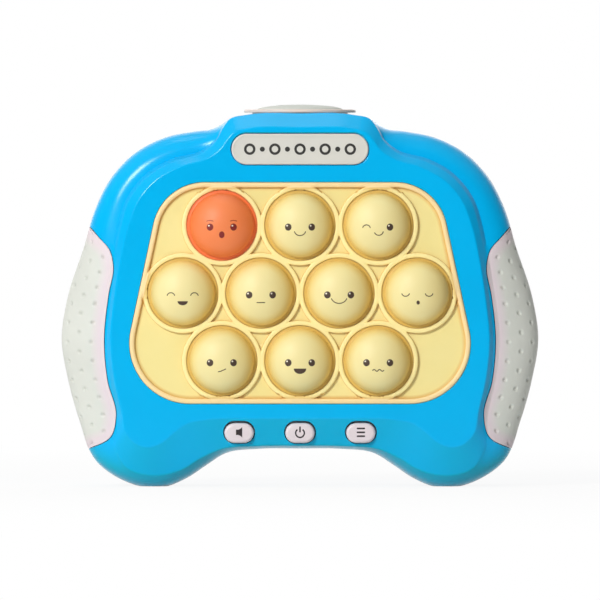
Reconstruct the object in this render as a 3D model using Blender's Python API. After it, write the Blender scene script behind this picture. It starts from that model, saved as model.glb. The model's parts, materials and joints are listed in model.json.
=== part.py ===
"""Electronic bubble pop game, built piece by piece.

World frame: +X right, +Z up, and the face looks along -Y. The game stands on its two lower
lobes at z = 0, and y = 0 lies halfway between the tops of the bubbles and the back.
Lengths are in metres. The light passes out through ten silicone bubbles, and each bubble
pushes a clear plunger onto a switch of the main board.
"""
import math

import bmesh
import bpy
from mathutils import Vector

# Driving sizes of the casing
BODY_WIDTH = 0.175
BODY_HEIGHT = 0.1369
OVERALL_DEPTH = 0.056
WALL = 0.0018
GAP = 0.0003
BEVEL_DEPTH = 0.0025
STEP_DEPTH = 0.003
OVERRUN = 0.005

# Depths as shares of the overall depth
BUBBLE_PROUD_share = 0.1518
SHOULDER_share = 0.2411
PARTING_share = 0.4196
BACK_ROUNDING_share = 0.1964

# Half outline of the casing, from the top centre down to the bottom centre. Each row gives
# the flat face's edge, the platform's edge, the widest outline and the back's edge, each as
# shares of the half width and of the height, then the shares of bevel and step depth there.
OUTLINE_shares = (
    ((0.000, 0.961), (0.000, 1.000), (0.000, 1.000), (0.000, 0.923), 2.0, 0.3),
    ((0.217, 0.958), (0.223, 0.996), (0.223, 0.996), (0.166, 0.920), 2.0, 0.3),
    ((0.279, 0.947), (0.293, 0.985), (0.294, 0.986), (0.234, 0.912), 1.8, 0.3),
    ((0.306, 0.928), (0.323, 0.961), (0.327, 0.971), (0.288, 0.903), 1.4, 0.5),
    ((0.334, 0.903), (0.353, 0.925), (0.368, 0.958), (0.336, 0.891), 1.1, 0.8),
    ((0.389, 0.879), (0.411, 0.893), (0.437, 0.952), (0.395, 0.875), 1.0, 1.0),
    ((0.503, 0.856), (0.529, 0.871), (0.562, 0.936), (0.498, 0.847), 1.0, 1.0),
    ((0.601, 0.822), (0.631, 0.834), (0.683, 0.898), (0.592, 0.808), 1.0, 1.0),
    ((0.677, 0.766), (0.713, 0.770), (0.789, 0.830), (0.679, 0.752), 1.0, 1.0),
    ((0.722, 0.692), (0.752, 0.692), (0.857, 0.747), (0.738, 0.684), 1.0, 0.8),
    ((0.750, 0.612), (0.774, 0.603), (0.906, 0.643), (0.784, 0.600), 1.0, 0.5),
    ((0.777, 0.504), (0.794, 0.504), (0.976, 0.504), (0.839, 0.494), 1.0, 0.4),
    ((0.793, 0.393), (0.811, 0.393), (1.000, 0.393), (0.859, 0.393), 1.0, 0.4),
    ((0.779, 0.292), (0.797, 0.289), (0.974, 0.288), (0.841, 0.299), 1.0, 0.4),
    ((0.747, 0.201), (0.765, 0.190), (0.926, 0.177), (0.798, 0.210), 1.1, 0.4),
    ((0.725, 0.140), (0.770, 0.101), (0.856, 0.067), (0.745, 0.133), 1.3, 0.3),
    ((0.679, 0.113), (0.725, 0.050), (0.757, 0.020), (0.693, 0.099), 1.4, 0.2),
    ((0.629, 0.107), (0.649, 0.031), (0.658, -0.002), (0.638, 0.086), 1.4, 0.2),
    ((0.578, 0.119), (0.574, 0.031), (0.569, -0.002), (0.578, 0.089), 1.4, 0.2),
    ((0.528, 0.146), (0.494, 0.046), (0.474, 0.022), (0.514, 0.107), 1.4, 0.2),
    ((0.473, 0.170), (0.416, 0.076), (0.389, 0.058), (0.450, 0.130), 1.4, 0.2),
    ((0.394, 0.180), (0.331, 0.100), (0.313, 0.088), (0.373, 0.152), 1.4, 0.2),
    ((0.206, 0.183), (0.177, 0.109), (0.171, 0.100), (0.201, 0.169), 1.4, 0.2),
    ((0.000, 0.183), (0.000, 0.110), (0.000, 0.101), (0.000, 0.172), 1.4, 0.2),
)
# The rows of that table that lie under the grips
GRIP_ROWS = range(9, 17)
OUTER_STEP_COUNT = 2
OUTER_ARC_COUNT = 3
COARSE_STEP_COUNT = 1
COARSE_ARC_COUNT = 2
# How the curve from the platform's edge to the widest outline starts, bends and ends
SHOULDER_START_share = 0.12
SHOULDER_BEND_share = 0.6
SHOULDER_RUN_share = 0.5
SHOULDER_SLOPE_share = 0.3

# Grips, whose inner edge is given as shares of the half width and of the height
GRIP_THICKNESS = 0.0024
GRIP_BACK_INSET = 0.0054
GRIP_EDGE_shares = (
    (0.894, 0.703), (0.842, 0.666), (0.799, 0.634), (0.783, 0.592), (0.803, 0.512),
    (0.821, 0.391), (0.806, 0.281), (0.771, 0.191), (0.791, 0.136), (0.896, 0.099),
)
GRIP_EDGE_STEP_COUNT = 2

# Silicone panel
PAD_END_MARGIN = 0.00035
PAD_SIDE_MARGIN = 0.00075
PAD_SPREAD_share = 0.0494
PAD_TOP_ROUNDING = 0.0038
PAD_BOTTOM_ROUNDING = 0.0068
PAD_RIM_WIDTH = 0.002
PAD_RIM_PROUD = 0.0006
PAD_FLOOR_SUNK = 0.0008
PAD_THICKNESS = 0.002
PAD_LIP = 0.001
PAD_LIP_THICKNESS = 0.0006
RING_WIDTH = 0.0023
RING_PROUD = 0.0007
CORNER_SIDES = 6

# Bubbles, whose places are shares of the casing's width and height
BUBBLE_PITCH_share = 0.16343
BUBBLE_ROW_share = 0.18115
BUBBLE_TOP_ROW_share = 0.69978
BUBBLE_ROWS = (3, 4, 3)
BUBBLE_BRIDGE = 0.0028
BUBBLE_GROOVE = 0.0004
BUBBLE_WALL = 0.0015
BUBBLE_HEM = 0.0002
BUBBLE_TRAVEL = 0.0045
BUBBLE_SIDES = 20
BUBBLE_OUTER_STEP_COUNT = 4
BUBBLE_INNER_STEP_COUNT = 2
RING_SIDES = 24

# Clear plungers under the bubbles
PLUNGER_HEAD_share = 0.56
PLUNGER_CROWN_share = 0.57
PLUNGER_STEP = 0.0013
PLUNGER_HEAD_THICKNESS = 0.002
PLUNGER_NECK = 0.001
PLUNGER_GUIDE_GAP = 0.00035
PLUNGER_SIDES = 12

# Tray behind the silicone panel
FRAME_DEPTH_share = 0.1393
FRAME_WALL = 0.0018
FRAME_POST_RADIUS = 0.0024
FRAME_POST_ACROSS_share = 0.2857
FRAME_POST_UP_share = 0.3652
POST_SIDES = 12

# Main board and its switches
BOARD_THICKNESS = 0.0016
BOARD_INSET = 0.003
SWITCH_SIZE = 0.0062
SWITCH_HEIGHT = 0.0015
CHIP_SIZE = 0.014
CHIP_HEIGHT = 0.0014
CHIP_UP_share = 0.4529
SOLDER_OVERLAP = 0.0003

# Name plate
PLATE_WIDTH_share = 0.2869
PLATE_HEIGHT_share = 0.08254
PLATE_UP_share = 0.90358
PLATE_RECESS = 0.001
PLATE_PROUD = 0.0005
PLATE_CHAMFER = 0.0004
PLATE_GAP = 0.0003

# Keys below the bubbles
KEY_PITCH_share = 0.12743
KEY_UP_share = 0.14609
KEY_WIDTH_share = 0.06171
KEY_HEIGHT_share = 0.05478
KEY_CHAMFER = 0.0005
KEY_HOLE_GAP = 0.00045
KEY_SUNK = 0.0005
KEY_LENGTH = 0.0064
KEY_FLANGE = 0.0012
KEY_FLANGE_THICKNESS = 0.0013
KEY_FLANGE_DROP = 0.0005
KEY_TRAVEL = 0.0012
KEY_BOARD_MARGIN = 0.0033
KEY_BOARD_BOTTOM_share = 0.1256
KEY_BOARD_TOP_share = 0.1885
KEY_POST_RADIUS = 0.0016
KEY_SWITCH_HEIGHT = 0.0015
KEY_SWITCH_SIZE = 0.0045
STADIUM_SIDES = 7

# Top button, its ring, its switch and its spring
TOP_CENTRE_OFFSET = 0.00275
COLLAR_WIDTH_share = 0.11714
COLLAR_DEPTH_share = 0.26786
COLLAR_SIDE_WIDTH = 0.00475
COLLAR_END_WIDTH = 0.0035
COLLAR_HEIGHT = 0.0011
COLLAR_CHAMFER = 0.0004
COLLAR_NECK_LENGTH = 0.0036
COLLAR_NECK_WALL = 0.0014
TOP_BUTTON_GAP = 0.00035
TOP_BUTTON_PROUD = 0.0033
TOP_BUTTON_CROWN = 0.0019
TOP_BUTTON_FLANGE = 0.0015
TOP_BUTTON_FLANGE_THICKNESS = 0.0013
TOP_BUTTON_TRAVEL = 0.0022
TOP_STEM_RADIUS = 0.0022
TOP_STEM_LENGTH = 0.0056
OVAL_SIDES = 32
TOP_BOARD_SIDE_INSET = 0.0035
TOP_BOARD_END_INSET = 0.002
TOP_BOARD_THICKNESS = 0.0012
TOP_SWITCH_SIZE = 0.006
TOP_SWITCH_HEIGHT = 0.002
TOP_RIB_THICKNESS = 0.0016
TOP_RIB_HEIGHT = 0.0037
TOP_RIB_INSET = 0.002
SPRING_RADIUS = 0.0052
SPRING_WIRE = 0.0007
SPRING_TURNS = 4
SPRING_POINTS_PER_TURN = 10

# Screws that hold the casing together: two above the panel, two beside it, two in the lobes
SCREW_TOP_ACROSS_share = 0.1886
SCREW_TOP_CLEARANCE = 0.0006
SCREW_SIDE_UP_share = 0.6939
SCREW_SIDE_CLEARANCE = 0.0004
SCREW_LOW_ACROSS_share = 0.32
SCREW_LOW_UP_share = 0.1607
SCREW_HOLE_GAP = 0.00035
BOSS_RADIUS = 0.0033
PILOT_RADIUS = 0.00155
PILOT_DEPTH = 0.012
WELL_RADIUS = 0.0044
WELL_BORE_RADIUS = 0.003
WELL_SEAT = 0.0038
SCREW_HEAD_RADIUS = 0.0026
SCREW_HEAD_HEIGHT = 0.002
SCREW_SHANK_RADIUS = 0.00125
SCREW_LENGTH = 0.012
SCREW_SIDES = 12

# Batteries and their bay
CELL_RADIUS = 0.0071
CELL_LENGTH = 0.0493
CELL_NUB_RADIUS = 0.00275
CELL_NUB_LENGTH = 0.0011
CELL_PITCH = 0.015
CELL_COUNT = 3
CELL_SIDES = 16
CELL_ABOVE_DOOR_EDGE = 0.0089
CELL_BEHIND_DOOR = 0.0005
CELL_END_GAP = 0.0004
BAY_SIDE_WALL = 0.0035
BAY_WALL = 0.0016
BAY_CELL_CLEARANCE = 0.0004
BAY_BOTTOM_ROOM = 0.0043
CONTACT_THICKNESS = 0.0005
CONTACT_DEPTH = 0.013
CONTACT_SPRING_LENGTH = 0.0061
CONTACT_SPRING_BASE_RADIUS = 0.0045
CONTACT_SPRING_TIP_RADIUS = 0.003

# Battery door, hinged on its lower edge
DOOR_SIDE_OVERLAP = 0.0015
DOOR_BOTTOM_share = 0.22279
DOOR_TOP_OVERLAP = 0.0075
DOOR_THICKNESS = 0.002
DOOR_GAP = 0.0004
DOOR_TAB_X = 0.018
DOOR_TAB_HALF_WIDTH = 0.004
DOOR_TAB_THICKNESS = 0.0012
DOOR_TAB_OFFSET = 0.0008
DOOR_TAB_REACH = 0.0012
DOOR_TAB_RISE = 0.0035
DOOR_TAB_ROOT = 0.0018
DOOR_TAB_SINK = 0.0005
DOOR_EDGE_SIDES = 6
DOOR_SCREW_DROP = 0.0036
DOOR_SCREW_HEAD_RADIUS = 0.0023
DOOR_SCREW_HEAD_HEIGHT = 0.001
DOOR_SCREW_SHANK_RADIUS = 0.0012
DOOR_SCREW_REACH = 0.0032
DOOR_SCREW_PILOT_RADIUS = 0.00165
DOOR_SCREW_SINK = 0.0013
DOOR_SCREW_HEAD_GAP = 0.0004
LATCH_WALL = 0.0091

# Loudspeaker behind its slots
SPEAKER_TOP_share = 0.86669
SPEAKER_ABOVE_BAY = 0.00135
SPEAKER_MAGNET_share = 0.5755
SPEAKER_DEPTH = 0.0059
SPEAKER_RIM = 0.0012
SPEAKER_GAP = 0.00045
SPEAKER_RING_WALL = 0.0013
SPEAKER_RING_DEPTH = 0.007
SPEAKER_SIDES = 24
SLOT_COUNT = 5
SLOT_PITCH_share = 0.2878
SLOT_OPEN_share = 0.225
SLOT_REACH_share = 0.9

# Inner wires
WIRE_RADIUS = 0.0008
WIRE_SPEAKER_X = 0.009
WIRE_BOARD_X = 0.012
WIRE_BOW = 0.003
WIRE_DROP = 0.006
WIRE_HOLE_GAP = 0.0005
WIRE_CONTACT_DROP = 0.005
WIRE_STEP_COUNT = 3
# How far along the space between the bay and the board the battery lead bends
WIRE_BEND_shares = (0.14, 0.57, 0.72)

# Places that follow from the sizes above: the casing
HALF_WIDTH = BODY_WIDTH / 2
FRONT_Y = -OVERALL_DEPTH / 2
BACK_Y = OVERALL_DEPTH / 2
FACE_Y = FRONT_Y + OVERALL_DEPTH * BUBBLE_PROUD_share
SHOULDER_Y = FACE_Y + OVERALL_DEPTH * SHOULDER_share
PARTING_Y = FACE_Y + OVERALL_DEPTH * PARTING_share
ROUNDING_Y = BACK_Y - OVERALL_DEPTH * BACK_ROUNDING_share
INNER_FACE_Y = FACE_Y + WALL
INNER_BACK_Y = BACK_Y - WALL
GRIP_BACK_Y = BACK_Y - GRIP_BACK_INSET

# The bubbles and the silicone panel round them
BUBBLE_PITCH = BODY_WIDTH * BUBBLE_PITCH_share
BUBBLE_ROW_PITCH = BODY_HEIGHT * BUBBLE_ROW_share
BUBBLE_TOP_ROW_Z = BODY_HEIGHT * BUBBLE_TOP_ROW_share
BUBBLE_LOW_ROW_Z = BUBBLE_TOP_ROW_Z - BUBBLE_ROW_PITCH * (len(BUBBLE_ROWS) - 1)
BUBBLE_SPACING = min(BUBBLE_PITCH, math.hypot(BUBBLE_PITCH / 2, BUBBLE_ROW_PITCH))
BUBBLE_RADIUS = (BUBBLE_SPACING - BUBBLE_BRIDGE) / 2 - BUBBLE_GROOVE
RING_INNER_RADIUS = BUBBLE_RADIUS + BUBBLE_GROOVE
RING_OUTER_RADIUS = RING_INNER_RADIUS + RING_WIDTH
PAD_TOP_Z = BUBBLE_TOP_ROW_Z + RING_OUTER_RADIUS + PAD_END_MARGIN
PAD_BOTTOM_Z = BUBBLE_LOW_ROW_Z - RING_OUTER_RADIUS - PAD_END_MARGIN
PAD_REACH = BUBBLE_PITCH * (max(BUBBLE_ROWS) - 1) / 2 + RING_OUTER_RADIUS + PAD_SIDE_MARGIN
PAD_TOP_HALF = PAD_REACH - BODY_WIDTH * PAD_SPREAD_share
PAD_BOTTOM_HALF = PAD_REACH + BODY_WIDTH * PAD_SPREAD_share
PAD_TOP_RADIUS = RING_OUTER_RADIUS + PAD_TOP_ROUNDING
PAD_BOTTOM_RADIUS = RING_OUTER_RADIUS + PAD_BOTTOM_ROUNDING
PAD_FLOOR_Y = FACE_Y + PAD_FLOOR_SUNK
PAD_BACK_Y = PAD_FLOOR_Y + PAD_THICKNESS
BUBBLE_BASE_Y = FACE_Y - PAD_RIM_PROUD
BUBBLE_HEM_Y = PAD_BACK_Y + BUBBLE_HEM

# The tray, the plungers and the boards behind the panel
FRAME_FRONT_Y = PAD_BACK_Y + GAP
FRAME_BACK_Y = FRAME_FRONT_Y + OVERALL_DEPTH * FRAME_DEPTH_share
FRAME_SIDE_POST_X = BODY_WIDTH * FRAME_POST_ACROSS_share
FRAME_SIDE_POST_Z = BODY_HEIGHT * FRAME_POST_UP_share
PLUNGER_HEAD_RADIUS = BUBBLE_RADIUS * PLUNGER_HEAD_share
PLUNGER_CROWN_RADIUS = PLUNGER_HEAD_RADIUS * PLUNGER_CROWN_share
PLUNGER_STEM_RADIUS = PLUNGER_HEAD_RADIUS - PLUNGER_STEP
PLUNGER_BACK_Y = FRAME_BACK_Y - FRAME_WALL + PLUNGER_NECK
SWITCH_FRONT_Y = PLUNGER_BACK_Y + BUBBLE_TRAVEL + GAP
BOARD_FRONT_Y = SWITCH_FRONT_Y + SWITCH_HEIGHT
BOARD_BACK_Y = BOARD_FRONT_Y + BOARD_THICKNESS
CHIP_Z = BODY_HEIGHT * CHIP_UP_share

# The name plate and the keys
PLATE_WIDTH = BODY_WIDTH * PLATE_WIDTH_share
PLATE_HEIGHT = BODY_HEIGHT * PLATE_HEIGHT_share
PLATE_Z = BODY_HEIGHT * PLATE_UP_share
KEY_PITCH = BODY_WIDTH * KEY_PITCH_share
KEY_Z = BODY_HEIGHT * KEY_UP_share
KEY_WIDTH = BODY_WIDTH * KEY_WIDTH_share
KEY_HEIGHT = BODY_HEIGHT * KEY_HEIGHT_share
KEY_FRONT_Y = FACE_Y + KEY_SUNK
KEY_BACK_Y = KEY_FRONT_Y + KEY_LENGTH
KEY_SWITCH_Y = KEY_BACK_Y + KEY_TRAVEL + GAP
KEY_BOARD_Y = KEY_SWITCH_Y + KEY_SWITCH_HEIGHT
KEY_BOARD_HALF_WIDTH = KEY_PITCH + KEY_WIDTH / 2 + KEY_BOARD_MARGIN
KEY_BOARD_BOTTOM_Z = BODY_HEIGHT * KEY_BOARD_BOTTOM_share
KEY_BOARD_TOP_Z = BODY_HEIGHT * KEY_BOARD_TOP_share

# The top button on the hump
HUMP_TOP_Z = BODY_HEIGHT
TOP_CENTRE_Y = (FACE_Y + BACK_Y) / 2 - TOP_CENTRE_OFFSET
COLLAR_HALF_WIDTH = BODY_WIDTH * COLLAR_WIDTH_share
COLLAR_HALF_DEPTH = OVERALL_DEPTH * COLLAR_DEPTH_share
COLLAR_BASE_Z = HUMP_TOP_Z + GAP
COLLAR_TOP_Z = COLLAR_BASE_Z + COLLAR_HEIGHT
COLLAR_NECK_Z = COLLAR_BASE_Z - COLLAR_NECK_LENGTH
TOP_BUTTON_HALF_WIDTH = COLLAR_HALF_WIDTH - COLLAR_SIDE_WIDTH
TOP_BUTTON_HALF_DEPTH = COLLAR_HALF_DEPTH - COLLAR_END_WIDTH
TOP_BUTTON_TOP_Z = HUMP_TOP_Z + TOP_BUTTON_PROUD
COLLAR_BORE_WIDTH = TOP_BUTTON_HALF_WIDTH + TOP_BUTTON_GAP
COLLAR_BORE_DEPTH = TOP_BUTTON_HALF_DEPTH + TOP_BUTTON_GAP
COLLAR_NECK_HALF_WIDTH = COLLAR_BORE_WIDTH + COLLAR_NECK_WALL
COLLAR_NECK_HALF_DEPTH = COLLAR_BORE_DEPTH + COLLAR_NECK_WALL
TOP_FLANGE_TOP_Z = COLLAR_NECK_Z - GAP
TOP_FLANGE_BOTTOM_Z = TOP_FLANGE_TOP_Z - TOP_BUTTON_FLANGE_THICKNESS
TOP_STEM_Z = TOP_FLANGE_BOTTOM_Z - TOP_STEM_LENGTH
TOP_SWITCH_Z = TOP_STEM_Z - TOP_BUTTON_TRAVEL - GAP
TOP_BOARD_TOP_Z = TOP_SWITCH_Z - TOP_SWITCH_HEIGHT
TOP_BOARD_Z = TOP_BOARD_TOP_Z - TOP_BOARD_THICKNESS
TOP_BOARD_HALF_WIDTH = COLLAR_NECK_HALF_WIDTH - TOP_BOARD_SIDE_INSET
TOP_BOARD_HALF_DEPTH = TOP_BUTTON_HALF_DEPTH - TOP_BOARD_END_INSET
TOP_BOARD_FRONT_Y = TOP_CENTRE_Y - TOP_BOARD_HALF_DEPTH
TOP_RIB_X = TOP_BOARD_HALF_WIDTH - TOP_RIB_INSET

# The battery bay, which is as wide as a cell between its contacts, and its door
CONTACT_ROOM = GAP + CELL_NUB_LENGTH + CELL_LENGTH + CELL_END_GAP + CONTACT_SPRING_LENGTH
CONTACT_FACE_X = CONTACT_ROOM / 2
CONTACT_MIDDLE_X = CONTACT_FACE_X + CONTACT_THICKNESS / 2
CONTACT_X = CONTACT_FACE_X + CONTACT_THICKNESS
BAY_HALF_WIDTH = CONTACT_X + BAY_CELL_CLEARANCE
DOOR_HALF_WIDTH = BAY_HALF_WIDTH + DOOR_SIDE_OVERLAP
DOOR_BOTTOM_Z = BODY_HEIGHT * DOOR_BOTTOM_share
DOOR_INNER_Y = BACK_Y - DOOR_THICKNESS
DOOR_AXIS_Y = BACK_Y - DOOR_THICKNESS / 2
DOOR_AXIS_Z = DOOR_BOTTOM_Z + DOOR_THICKNESS / 2
DOOR_LEDGE_Y = DOOR_INNER_Y - GAP
CELL_Y = DOOR_INNER_Y - CELL_BEHIND_DOOR - CELL_RADIUS
CELL_LOWEST_Z = DOOR_BOTTOM_Z + CELL_ABOVE_DOOR_EDGE
CELL_TOP_Z = CELL_LOWEST_Z + CELL_PITCH * (CELL_COUNT - 1) + CELL_RADIUS
DOOR_TOP_Z = CELL_TOP_Z + DOOR_TOP_OVERLAP
DOOR_SCREW_Z = DOOR_TOP_Z - DOOR_SCREW_DROP
BAY_FRONT_Y = CELL_Y - CELL_RADIUS - BAY_CELL_CLEARANCE
BAY_TOP_Z = CELL_TOP_Z + BAY_CELL_CLEARANCE
BAY_CEILING_Z = BAY_TOP_Z + LATCH_WALL
BAY_BOTTOM_Z = CELL_LOWEST_Z - CELL_RADIUS - BAY_BOTTOM_ROOM

# The loudspeaker, between the bay and the hump's top
SPEAKER_BACK_Y = INNER_BACK_Y - GAP
SPEAKER_FRONT_Y = SPEAKER_BACK_Y - SPEAKER_DEPTH
SPEAKER_RING_TOP_Z = BODY_HEIGHT * SPEAKER_TOP_share
SPEAKER_RING_RADIUS = (SPEAKER_RING_TOP_Z - BAY_CEILING_Z - SPEAKER_ABOVE_BAY) / 2
SPEAKER_BORE_RADIUS = SPEAKER_RING_RADIUS - SPEAKER_RING_WALL
SPEAKER_RADIUS = SPEAKER_BORE_RADIUS - SPEAKER_GAP
SPEAKER_MAGNET_RADIUS = SPEAKER_RADIUS * SPEAKER_MAGNET_share
SPEAKER_Z = SPEAKER_RING_TOP_Z - SPEAKER_RING_RADIUS
SLOT_PITCH = SPEAKER_RADIUS * SLOT_PITCH_share
SLOT_HALF_HEIGHT = SLOT_PITCH * SLOT_OPEN_share
SLOT_REACH_RADIUS = SPEAKER_RADIUS * SLOT_REACH_share


def clear_scene():
    for piece in list(bpy.data.objects):
        bpy.data.objects.remove(piece, do_unlink=True)


# Materials


def make_material(name, colour, roughness, metallic=0.0):
    material = bpy.data.materials.new(name)
    material.use_nodes = True
    shader = material.node_tree.nodes["Principled BSDF"]
    shader.inputs["Base Color"].default_value = (*colour, 1.0)
    shader.inputs["Roughness"].default_value = roughness
    shader.inputs["Metallic"].default_value = metallic
    return material


def make_materials():
    return {
        "casing": make_material("casing", (0.0, 0.44, 0.86), 0.3),
        "grip": make_material("grip", (0.68, 0.68, 0.62), 0.55),
        "plate": make_material("plate", (0.66, 0.64, 0.59), 0.4),
        "pad": make_material("pad", (0.88, 0.73, 0.28), 0.45),
        "bubble": make_material("bubble", (0.91, 0.79, 0.36), 0.4),
        "lit_bubble": make_material("lit_bubble", (0.86, 0.2, 0.05), 0.4),
        "plunger": make_material("plunger", (0.86, 0.86, 0.84), 0.2),
        "key": make_material("key", (0.8, 0.7, 0.73), 0.4),
        "collar": make_material("collar", (0.76, 0.62, 0.55), 0.4),
        "top_button": make_material("top_button", (0.7, 0.7, 0.65), 0.4),
        "frame": make_material("frame", (0.75, 0.75, 0.73), 0.5),
        "board": make_material("board", (0.02, 0.2, 0.08), 0.5),
        "steel": make_material("steel", (0.6, 0.6, 0.6), 0.3, 1.0),
        "speaker": make_material("speaker", (0.05, 0.05, 0.05), 0.6),
        "cell": make_material("cell", (0.1, 0.1, 0.12), 0.35, 0.5),
        "wire": make_material("wire", (0.6, 0.04, 0.03), 0.5),
    }


# Solids


def add_solid(points, faces, name="solid"):
    """A closed mesh object whose faces point out."""
    mesh = bpy.data.meshes.new(name)
    mesh.from_pydata(points, [], faces)
    shape = bmesh.new()
    shape.from_mesh(mesh)
    bmesh.ops.recalc_face_normals(shape, faces=shape.faces)
    shape.to_mesh(mesh)
    shape.free()
    piece = bpy.data.objects.new(name, mesh)
    bpy.context.scene.collection.objects.link(piece)
    return piece


def loft(rings):
    """A solid through rings of as many points each, closed by a flat face at both ends."""
    count = len(rings[0])
    points = [point for ring in rings for point in ring]
    faces = [tuple(range(count)), tuple(range(len(points) - count, len(points)))]
    for band in range(len(rings) - 1):
        start = band * count
        for i in range(count):
            j = (i + 1) % count
            faces.append((start + i, start + j, start + count + j, start + count + i))
    return add_solid(points, faces)


def along(axis, first, second, distance):
    """The place of a flat outline's point on a plane across the axis."""
    if axis == "X":
        return Vector((distance, first, second))
    if axis == "Y":
        return Vector((first, distance, second))
    return Vector((first, second, distance))


def prism(outline, start, end, axis="Y"):
    """An outline in (x, z), (x, y) or (y, z), drawn out along the axis."""
    rings = [[along(axis, a, b, distance) for a, b in outline] for distance in (start, end)]
    return loft(rings)


def box(low, high):
    corners = [(low[0], low[2]), (high[0], low[2]), (high[0], high[2]), (low[0], high[2])]
    return prism(corners, low[1], high[1])


def turned(profile, sides, centre, axis="Y"):
    """A round solid from (radius, distance) points, closed flat at both ends."""
    rings = []
    for radius, distance in profile:
        outline = oval(centre[0], centre[1], radius, radius, sides)
        rings.append([along(axis, a, b, distance) for a, b in outline])
    return loft(rings)


def tube(path, radius, sides=6):
    """A round tube along a smooth path of points."""
    rings = []
    side = None
    for i, point in enumerate(path):
        before = path[max(i - 1, 0)]
        after = path[min(i + 1, len(path) - 1)]
        forward = (after - before).normalized()
        if side is None:
            side = forward.orthogonal().normalized()
        side = (side - forward * side.dot(forward)).normalized()
        across = forward.cross(side)
        ring = []
        for k in range(sides):
            angle = math.tau * k / sides
            ring.append(point + (side * math.cos(angle) + across * math.sin(angle)) * radius)
        rings.append(ring)
    return loft(rings)


def combine(target, tools, operation):
    """Cut, fuse or keep the target with each tool in turn, and drop the tools."""
    for tool in tools:
        modifier = target.modifiers.new(operation.lower(), "BOOLEAN")
        modifier.operation = operation
        modifier.solver = "EXACT"
        modifier.object = tool
    graph = bpy.context.evaluated_depsgraph_get()
    result = bpy.data.meshes.new_from_object(target.evaluated_get(graph))
    target.modifiers.clear()
    target.data = result
    for tool in tools:
        bpy.data.objects.remove(tool, do_unlink=True)
    return target


def cut(target, *tools):
    return combine(target, tools, "DIFFERENCE")


def fuse(target, *tools):
    return combine(target, tools, "UNION")


def keep(target, *tools):
    return combine(target, tools, "INTERSECT")


def gather(pieces):
    """One object that holds several solids which stay clear of each other."""
    shape = bmesh.new()
    for piece in pieces:
        shape.from_mesh(piece.data)
    mesh = bpy.data.meshes.new("group")
    shape.to_mesh(mesh)
    shape.free()
    for piece in pieces:
        bpy.data.objects.remove(piece, do_unlink=True)
    group = bpy.data.objects.new("group", mesh)
    bpy.context.scene.collection.objects.link(group)
    return group


def finish(piece, name, material, smooth_angle=40, origin=(0, 0, 0)):
    """Name and colour a piece, shade it, and put its origin where it is moved about."""
    piece.name = name
    piece.data.name = name
    piece.data.materials.clear()
    piece.data.materials.append(material)
    for face in piece.data.polygons:
        face.material_index = 0
    for vertex in piece.data.vertices:
        vertex.co -= Vector(origin)
    piece.location = origin
    piece.data.shade_smooth()
    piece.data.set_sharp_from_angle(angle=math.radians(smooth_angle))
    return piece


# Flat outlines


def oval(centre_a, centre_b, half_a, half_b, sides):
    angles = [math.tau * i / sides for i in range(sides)]
    return [(centre_a + half_a * math.sin(t), centre_b + half_b * math.cos(t)) for t in angles]


def stadium(centre_x, centre_z, half_width, half_height):
    """A bar with round ends."""
    outline = []
    reach = half_width - half_height
    for i in range(STADIUM_SIDES + 1):
        angle = math.pi * i / STADIUM_SIDES
        outline.append((centre_x + reach + half_height * math.sin(angle),
                        centre_z + half_height * math.cos(angle)))
    for i in range(STADIUM_SIDES + 1):
        angle = math.pi * i / STADIUM_SIDES
        outline.append((centre_x - reach - half_height * math.sin(angle),
                        centre_z - half_height * math.cos(angle)))
    return outline


def pad_outline(growth=0.0):
    """The rounded trapezoid of the silicone panel, made larger all round by growth."""
    lean = math.atan2(PAD_BOTTOM_HALF - PAD_TOP_HALF, PAD_TOP_Z - PAD_BOTTOM_Z)
    corners = []
    for half, z, radius, side in ((PAD_TOP_HALF, PAD_TOP_Z, PAD_TOP_RADIUS, 1),
                                  (PAD_BOTTOM_HALF, PAD_BOTTOM_Z, PAD_BOTTOM_RADIUS, -1)):
        turn = math.pi / 2 - side * lean
        centre_x = half - radius * math.tan(turn / 2)
        centre_z = z - side * radius
        corners.append((centre_x, centre_z, radius + growth, side, turn))
    half_outline = []
    centre_x, centre_z, radius, side, turn = corners[0]
    for i in range(CORNER_SIDES + 1):
        angle = turn * i / CORNER_SIDES
        half_outline.append((centre_x + radius * math.sin(angle),
                             centre_z + radius * math.cos(angle)))
    centre_x, centre_z, radius, side, turn = corners[1]
    for i in range(CORNER_SIDES + 1):
        angle = turn * (1 - i / CORNER_SIDES)
        half_outline.append((centre_x + radius * math.sin(angle),
                             centre_z - radius * math.cos(angle)))
    other_half = [(-x, z) for x, z in reversed(half_outline)]
    return half_outline + other_half


# The casing's own form


def smooth_curve(stations, steps, closed=True):
    """Points on a smooth curve through the stations, with so many steps for each."""
    count = len(stations)
    last = count if closed else count - 1
    tangents = []
    for i in range(count):
        before = stations[i - 1] if closed or i > 0 else stations[i]
        after = stations[(i + 1) % count] if closed or i < count - 1 else stations[i]
        reach_in = (stations[i] - before).length or 1
        reach_out = (after - stations[i]).length or 1
        slope = (stations[i] - before) / reach_in * reach_out
        slope += (after - stations[i]) / reach_out * reach_in
        tangents.append(slope / (reach_in + reach_out))
    points = []
    for i in range(last):
        start = stations[i]
        end = stations[(i + 1) % count]
        chord = (end - start).length
        for step in range(steps):
            u = step / steps
            point = start * (2 * u ** 3 - 3 * u ** 2 + 1)
            point += end * (3 * u ** 2 - 2 * u ** 3)
            point += tangents[i] * chord * (u ** 3 - 2 * u ** 2 + u)
            point += tangents[(i + 1) % count] * chord * (u ** 3 - u ** 2)
            points.append(point)
    if not closed:
        points.append(stations[-1])
    return points


def whole_ring(half):
    """Both sides from the rows of one side: the end rows lie on the centre line."""
    return half + [mirrored(value) for value in half[-2:0:-1]]


def mirrored(value):
    return Vector((-value.x, value.y)) if isinstance(value, Vector) else value


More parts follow.
